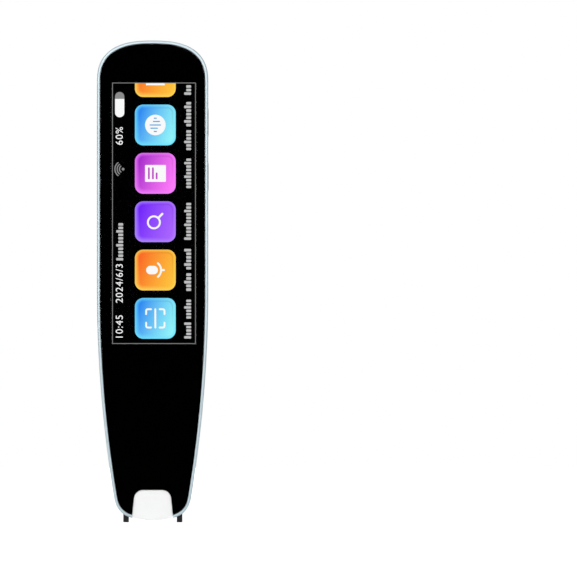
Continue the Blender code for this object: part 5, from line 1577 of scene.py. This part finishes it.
@dataclass
class ScreenPicture:
    """The menu on the screen: thin lit plates on the display's panel, bonded to the glass."""

    low: Pair = (-12.55 * MM, 55.65 * MM)
    high: Pair = (13.45 * MM, 136.9 * MM)
    border: float = 0.2 * MM
    bond: float = 0.006 * MM
    layer: float = 0.02 * MM
    tile_middle: float = 0.87 * MM
    tile_half: float = 6.34 * MM
    tile_corner: float = 2.6 * MM
    tile_first: float = 63.57 * MM
    tile_pitch: float = 15.04 * MM
    line: float = 0.58 * MM
    status_middle: float = -10.22 * MM
    label_foot: float = 12.0 * MM
    letter_pitch: float = 1.06 * MM
    letter_gap: float = 0.3 * MM
    letter_low: float = 1.5 * MM
    letter_tall: float = 2.15 * MM
    letter_corner: float = 0.22 * MM
    figure_spread: float = 1.12
    bold: float = 1.15
    tall_every: int = 4
    words: tuple[Pair, ...] = tuple((low * MM, high * MM) for low, high in (
        (57.3, 62.6), (63.5, 69.7), (72.1, 77.9), (78.8, 85.5), (88.0, 99.8), (104.1, 113.6),
        (115.9, 122.4), (123.3, 131.2), (133.1, 136.4),
    ))

    def level(self, number: int) -> Pair:
        """The depths of a layer of the picture, counted from the panel outwards."""
        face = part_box("front_glass")[1].y - self.bond
        return face - self.layer * (number + 1), face - self.layer * number

    def flat(self, name: str, line: Outline, number: int, place: Pair = (0.0, 0.0)) -> Object:
        """A thin plate of an outline in a layer of the picture."""
        return plate(name, line, *self.level(number), place=place)

    def loop(self, name: str, outer: Outline, inner: Outline, number: int, place: Pair) -> Object:
        """A thin flat ring in a layer of the picture."""
        return band(name, outer, inner, *self.level(number), place)

    def put(self, piece: Object, finish: AnyFinish) -> Object:
        """Let a piece of the picture ride on the housing."""
        return settle(piece, finish, "screen", smooth=False)

    def build(self) -> None:
        """Make the border, the tiles with their signs, the labels and the status line."""
        outer = rectangle(self.low, self.high)
        border = self.loop("screen_border", outer, inset(outer, self.border), 0, (0.0, 0.0))
        self.put(border, LIT_BORDER)
        signs = (self.scan_sign, self.voice_sign, self.search_sign, self.page_sign, self.sound_sign)
        for index, tile in enumerate(TILES):
            middle = (self.tile_middle, self.tile_first + self.tile_pitch * index)
            self.build_tile(tile, middle)
            if index < len(signs):
                self.put(merge(tile.name + "_sign", signs[index](middle)), LIT_WHITE)
        self.build_details()
        self.build_words()
        self.build_status()

    def build_tile(self, tile: Tile, middle: Pair) -> None:
        """Make a tile about its own origin, cut off where the screen ends."""
        half, corner = self.tile_half, self.tile_corner
        limit = self.high[1] - self.border - middle[1]
        top = min(half, limit)
        soft = corner if top == half else 0.0
        line = rounded([(-half, -half, corner), (half, -half, corner), (half, top, soft), (-half, top, soft)])
        low, high = self.level(0)
        made = plate(tile.name, line, 0.0, high - low)
        made.location = (middle[0], low, middle[1])
        self.put(made, TileFinish(tile.name, tile.first, tile.second, tile.edge, half, corner))

    def scan_sign(self, middle: Pair) -> list[Object]:
        """Four corner brackets and an upright bar."""
        reach, arm, bend = 2.85 * MM, 1.5 * MM, 0.5 * MM
        parts = []
        for across, up in ((1, 1), (1, -1), (-1, 1), (-1, -1)):
            path = [(across * (reach - arm), up * reach), (across * (reach - bend), up * reach)]
            for step in range(1, 5):
                angle = math.pi / 2 * step / 5
                x = reach - bend + bend * math.sin(angle)
                path.append((across * x, up * (reach - bend + bend * math.cos(angle))))
            path += [(across * reach, up * (reach - bend)), (across * reach, up * (reach - arm))]
            if across * up < 0:
                path = path[::-1]
            parts.append(self.flat("bracket", ribbon(path, self.line), 1, middle))
        bar = ribbon([(0.0, -reach), (0.0, reach)], self.line)
        return parts + [self.flat("bar", bar, 1, middle)]

    def voice_sign(self, middle: Pair) -> list[Object]:
        """A microphone that lies on its side: capsule, cradle and stem."""
        capsule = rectangle((-2.85 * MM, -1.33 * MM), (0.8 * MM, 1.33 * MM), 1.32 * MM)
        cradle = []
        for step in range(17):
            angle = math.radians(-50 + 100 * step / 16)
            cradle.append((-0.97 * MM + 2.75 * MM * math.cos(angle), 2.75 * MM * math.sin(angle)))
        stem = [(1.9 * MM, 0.0), (2.65 * MM, 0.0)]
        lines = (capsule, ribbon(cradle, self.line), ribbon(stem, self.line * self.bold))
        return [self.flat("part", line, 1, middle) for line in lines]

    def search_sign(self, middle: Pair) -> list[Object]:
        """A ring with a handle to its upper right."""
        centre, radius = (-0.45 * MM, -0.2 * MM), 1.87 * MM
        reach = radius * math.sqrt(0.5)
        start = (centre[0] + reach, centre[1] + reach)
        handle = [start, (start[0] + 1.3 * MM, start[1] + 1.3 * MM)]
        outer = circle(radius + self.line / 2, 48, centre)
        ring = self.loop("ring", outer, circle(radius - self.line / 2, 48, centre), 1, middle)
        return [ring, self.flat("handle", ribbon(handle, self.line * self.bold), 1, middle)]

    def page_sign(self, middle: Pair) -> list[Object]:
        """A plain page."""
        page = rectangle((-3.2 * MM, -2.65 * MM), (3.3 * MM, 2.6 * MM), 0.25 * MM)
        return [self.flat("page", page, 1, middle)]

    def sound_sign(self, middle: Pair) -> list[Object]:
        """A plain disc."""
        return [self.flat("disc", circle(3.2 * MM, 64), 1, middle)]

    def build_details(self) -> None:
        """Make the lines on the page and on the disc, and the sign on the last tile's cut edge."""
        page = (self.tile_middle, self.tile_first + 3 * self.tile_pitch)
        rows = ((-2.0, -1.6, 1.6), (-0.75, -1.6, 1.6), (0.42, -1.6, 0.0))
        lines = [ribbon([(x * MM, low * MM), (x * MM, high * MM)], 0.55 * MM) for x, low, high in rows]
        marks = [self.flat("row", line, 2, page) for line in lines]
        self.put(merge("page_rows", marks), LIT_MAGENTA)
        disc = (self.tile_middle, self.tile_first + 4 * self.tile_pitch)
        bars = ((2.1, -0.3, 0.3), (1.1, -0.6, 1.3), (0.0, -1.6, 1.6), (-1.0, -1.4, 0.6), (-2.0, -0.35, 0.35))
        lines = [ribbon([(a * MM, z * MM), (b * MM, z * MM)], 0.36 * MM) for z, a, b in bars]
        marks = [self.flat("bar", line, 2, disc) for line in lines]
        self.put(merge("sound_bars", marks), LIT_BLUE)
        top = self.high[1] - self.border
        stub = rectangle((-2.05 * MM, top - 0.62 * MM), (3.8 * MM, top), 0.1 * MM)
        self.put(self.flat("last_tile_sign", stub, 1), LIT_WHITE)

    def build_words(self) -> None:
        """Make plain blocks where the words of the labels stand."""
        blocks = []
        for order, (low, high) in enumerate(self.words):
            blocks += self.word(low, high, self.label_foot, order)
        self.put(merge("label_blocks", blocks), LIT_LABEL)

    def word(self, low: float, high: float, foot: float, order: int) -> list[Object]:
        """Plain blocks in the place of a word, one for each letter and some of them taller.

        Args:
            low: The height at which the word starts.
            high: The height at which it ends.
            foot: The line that its letters stand on.
            order: The word's number, which shifts the taller blocks.

        Returns:
            The blocks.
        """
        count = max(2, round((high - low) / self.letter_pitch))
        step = (high - low) / count
        blocks = []
        for index in range(count):
            tall = (index + order) % self.tall_every == 0
            head = foot - (self.letter_tall if tall else self.letter_low)
            start = low + step * index
            corners = (head, start), (foot, start + step - self.letter_gap)
            blocks.append(self.flat("letter", rectangle(*corners, self.letter_corner, 3), 0))
        return blocks

    def build_status(self) -> None:
        """Make the clock, the day, the signal, the charge and the battery."""
        x = self.status_middle
        pill_low, pill_high, split = 126.15 * MM, 134.0 * MM, 131.85 * MM
        half = 1.44 * MM
        low, high, soft = x - half, x + half, half * 0.99
        full = [(low, pill_low, soft), (high, pill_low, soft), (high, split, 0), (low, split, 0)]
        empty = [(low, split, 0), (high, split, 0), (high, pill_high, soft), (low, pill_high, soft)]
        numbers = [
            self.number("clock", "10:45", (x, 60.85 * MM), 3.15 * MM),
            self.number("day", "2024/6/3", (x, 74.5 * MM), 3.1 * MM),
            self.number("charge", "60%", (x, 120.3 * MM), 3.2 * MM),
        ]
        weekday = self.word(81.6 * MM, 93.5 * MM, x + self.letter_tall / 2, 0)
        source = (-9.15 * MM, 110.0 * MM)
        waves = [self.flat("source", circle(0.42 * MM, 24), 0, source)]
        for reach in (1.15 * MM, 1.85 * MM, 2.55 * MM):
            angles = [math.radians(180 - 52 + 104 * step / 12) for step in range(13)]
            arc = [(reach * math.cos(a), reach * math.sin(a)) for a in angles]
            waves.append(self.flat("wave", ribbon(arc, 0.34 * MM), 0, source))
        self.put(merge("status_numbers", [*numbers, self.flat("charge_full", rounded(full), 0)]), LIT_WHITE)
        self.put(merge("weekday_blocks", weekday), LIT_LABEL)
        self.put(merge("signal_waves", [*waves, self.flat("charge_empty", rounded(empty), 0)]), LIT_GREY)

    def number(self, name: str, words: str, middle: Pair, size: float) -> Object:
        """Plain figures that read upwards, about a middle."""
        curve = bpy.data.curves.new(name, "FONT")
        curve.body, curve.size, curve.extrude = words, size, self.layer / 2
        curve.align_x, curve.align_y, curve.space_character = "CENTER", "CENTER", self.figure_spread
        flat = stand(name + "_text", curve)
        graph = bpy.context.evaluated_depsgraph_get()
        mesh = bpy.data.meshes.new_from_object(flat.evaluated_get(graph))
        bpy.data.objects.remove(flat)
        place = (middle[0], sum(self.level(0)) / 2, middle[1])
        mesh.transform(Matrix.Translation(place) @ Matrix(((0, -1, 0), (0, 0, -1), (1, 0, 0))).to_4x4())
        bm = bmesh.new()
        bm.from_mesh(mesh)
        bmesh.ops.remove_doubles(bm, verts=bm.verts, dist=WELD)
        return from_bmesh(name, bm)


# Pieces inside, which stay as they were packed

PACKED_FINISHES = (
    STEEL, KEY_BLACK, LENS_GLASS, BOARD_GREEN, LAMP_WHITE, COPPER_FILM, CHASSIS_METAL, BATTERY_POUCH,
    MESH_BLACK, FOAM, CONE_GREY, BLACK_PLASTIC, PALE_METAL, TRIM_BLACK, FOOT_GREY, CLEAR_PLASTIC,
    FROSTED_PLASTIC,
)
SLOT_FINISHES: dict[str, AnyFinish] = {finish.name: finish for finish in PACKED_FINISHES}
SLOT_FINISHES |= {"screen": PANEL_BLACK, "front_glass": COVER_GLASS}


class Inside:
    """The pieces that stay as they were packed, each in the finish of its slot."""

    def dress(self) -> None:
        """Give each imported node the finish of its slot."""
        for part in frame["record"]["subparts"]:
            node = frame["nodes"][part["node"]]
            made = material_of(SLOT_FINISHES[part["material_slot"]])
            if not node.material_slots:
                node.data.materials.append(made)
            for held in node.material_slots:
                held.material = made


# Studio

@dataclass
class Lamp:
    """A soft square lamp that looks at a point."""

    name: str
    place: Triple
    size: float
    power: float
    target: Triple = (0.0, 0.0, 75.0 * MM)

    def build(self) -> None:
        """Hang the lamp."""
        light = bpy.data.lights.new(self.name, "AREA")
        light.shape, light.size, light.energy = "SQUARE", self.size, self.power
        hung = stand(self.name, light)
        hung.location = self.place
        ahead = Vector(self.target) - Vector(self.place)
        hung.rotation_euler = ahead.to_track_quat("-Z", "Y").to_euler()
        hung.visible_camera = hung.visible_glossy = False


@dataclass
class Studio:
    """A plain white floor, soft lamps, a white surround and the photograph's view."""

    photo_width: int = 577
    photo_height: int = 574
    pen_middle: float = 152.5
    feet_row: float = 522.8
    pixel: float = 0.311 * MM
    distance: float = 3.0
    sensor: float = 36.0
    floor_radius: float = 0.9
    floor_glow: float = 0.7
    card_edge: float = 30.0 * MM
    gloss_stops: tuple[Pair, ...] = (
        (-1.0, 0.0), (-0.94, 0.0), (-0.82, 1.2), (-0.5, 1.7), (-0.25, 1.5), (0.02, 0.75), (0.22, 0.1),
        (0.4, 0.0), (0.86, 0.0), (0.95, 0.1), (0.98, 0.4), (1.0, 1.15),
    )
    ambient: float = 0.3
    lamps: tuple[Lamp, ...] = (
        Lamp("key_lamp", (-0.3, -1.0, 0.5), 0.45, 5.8),
        Lamp("fill_lamp", (0.35, -1.0, 0.25), 0.45, 3.4),
        Lamp("back_lamp", (0.0, 1.1, 0.12), 0.95, 11.5),
        Lamp("top_lamp", (0.0, 0.1, 1.1), 0.6, 1.2),
    )

    def build(self) -> None:
        """Set up the studio."""
        scene = bpy.context.scene
        scene.view_settings.view_transform = "Standard"
        self.build_camera()
        self.build_floor()
        self.build_world()
        for lamp in self.lamps:
            lamp.build()

    def build_camera(self) -> None:
        """Stand the camera level, as far aside and up as puts the pen where the photograph has it."""
        view = bpy.data.cameras.new("view")
        view.sensor_width = self.sensor
        view.lens = self.sensor * self.distance / (self.photo_width * self.pixel)
        camera = stand("view", view)
        aside = (self.photo_width / 2 - self.pen_middle) * self.pixel
        up = (self.feet_row - self.photo_height / 2) * self.pixel
        camera.location = (aside, HOUSING.front - self.distance, up)
        camera.rotation_euler = (math.pi / 2, 0.0, 0.0)
        bpy.context.scene.camera = camera

    def build_floor(self) -> None:
        """Lay a round floor that looks white and still takes the pen's shadow."""
        bm = bmesh.new()
        bmesh.ops.create_circle(bm, cap_ends=True, radius=self.floor_radius, segments=96)
        floor = from_bmesh("floor", bm)
        floor.data.materials.append(self.floor_surface())

    def floor_surface(self) -> Material:
        """The floor's material: matt white, with a little light of its own for the camera and for rays
        through glass, and dark ahead of the pen for gloss.
        """
        surface = Surface("pale_floor")
        surface.set(Base_Color=(0.8, 0.8, 0.8), Roughness=0.9, Specular_IOR_Level=0.0)
        path = surface.add("ShaderNodeLightPath").outputs
        seen = surface.maths("MAXIMUM", path["Is Camera Ray"], path["Is Transmission Ray"])
        strength = surface.maths("MULTIPLY", seen, self.floor_glow)
        glow = surface.add("ShaderNodeEmission", {"Strength": strength})
        both = surface.add("ShaderNodeAddShader", {0: surface.shader.outputs[0], 1: glow.outputs[0]})
        ahead = surface.spread(surface.parts()["Y"], HOUSING.front, HOUSING.front - self.card_edge)
        dark = surface.add("ShaderNodeEmission", {"Strength": 0.0})
        share = surface.maths("MULTIPLY", path["Is Glossy Ray"], ahead)
        mixed = surface.add("ShaderNodeMixShader", {0: share, 1: both.outputs[0], 2: dark.outputs[0]})
        surface.tree.links.new(mixed.outputs[0], surface.tree.nodes["Material Output"].inputs["Surface"])
        return surface.material

    def build_world(self) -> None:
        """A white surround for the camera and glass, and soft light and dark cards round it for gloss."""
        world = bpy.data.worlds.new("surround")
        world.use_nodes = True
        bpy.context.scene.world = world
        tree = Tree(world.node_tree)
        path = tree.add("ShaderNodeLightPath").outputs
        direction = tree.add("ShaderNodeTexCoord").outputs["Generated"]
        ahead = tree.add("ShaderNodeSeparateXYZ", {0: direction}).outputs["Y"]
        ramp = tree.add("ShaderNodeValToRGB", {0: tree.spread(ahead, -1.0, 1.0)})
        stops = ramp.color_ramp.elements
        while len(stops) < len(self.gloss_stops):
            stops.new(0.5)
        for stop, (depth, strength) in zip(stops, self.gloss_stops):
            stop.position, stop.color = (depth + 1) / 2, (strength, strength, strength, 1.0)
        seen = tree.maths("MAXIMUM", path["Is Camera Ray"], path["Is Transmission Ray"])
        rest = tree.maths("SUBTRACT", 1.0, tree.maths("MAXIMUM", seen, path["Is Glossy Ray"]))
        glossy = tree.maths("MULTIPLY", path["Is Glossy Ray"], ramp.outputs[0])
        strength = tree.maths("MULTIPLY_ADD", rest, self.ambient, tree.maths("MAXIMUM", seen, glossy))
        backdrop = world.node_tree.nodes["Background"]
        backdrop.inputs["Color"].default_value = (1.0, 1.0, 1.0, 1.0)
        world.node_tree.links.new(strength, backdrop.inputs["Strength"])


def main() -> None:
    """Build every part of the scene in order, and report each."""
    logging.basicConfig(level=logging.INFO, format="%(name)s: %(message)s")
    parts = [
        ("packed pieces", Inside().dress),
        ("studio", Studio().build),
        ("cover glass", CoverGlass().build),
        ("side frame", SideFrame().build),
        ("rear cover", RearCover().build),
        ("speaker face", SpeakerFace().build),
        ("nose plate", NosePlate().build),
        ("nose", NOSE.build),
        ("scan trigger", TRIGGER.build),
        ("charging inlet", INLET.build),
        ("screen picture", ScreenPicture().build),
    ]
    parts += [(piece.name, piece.build) for piece in (*SPRINGS, *KEYS)]
    for name, build in parts:
        build()
        log.info("%s is done", name)


if __name__ == "__main__":
    main()
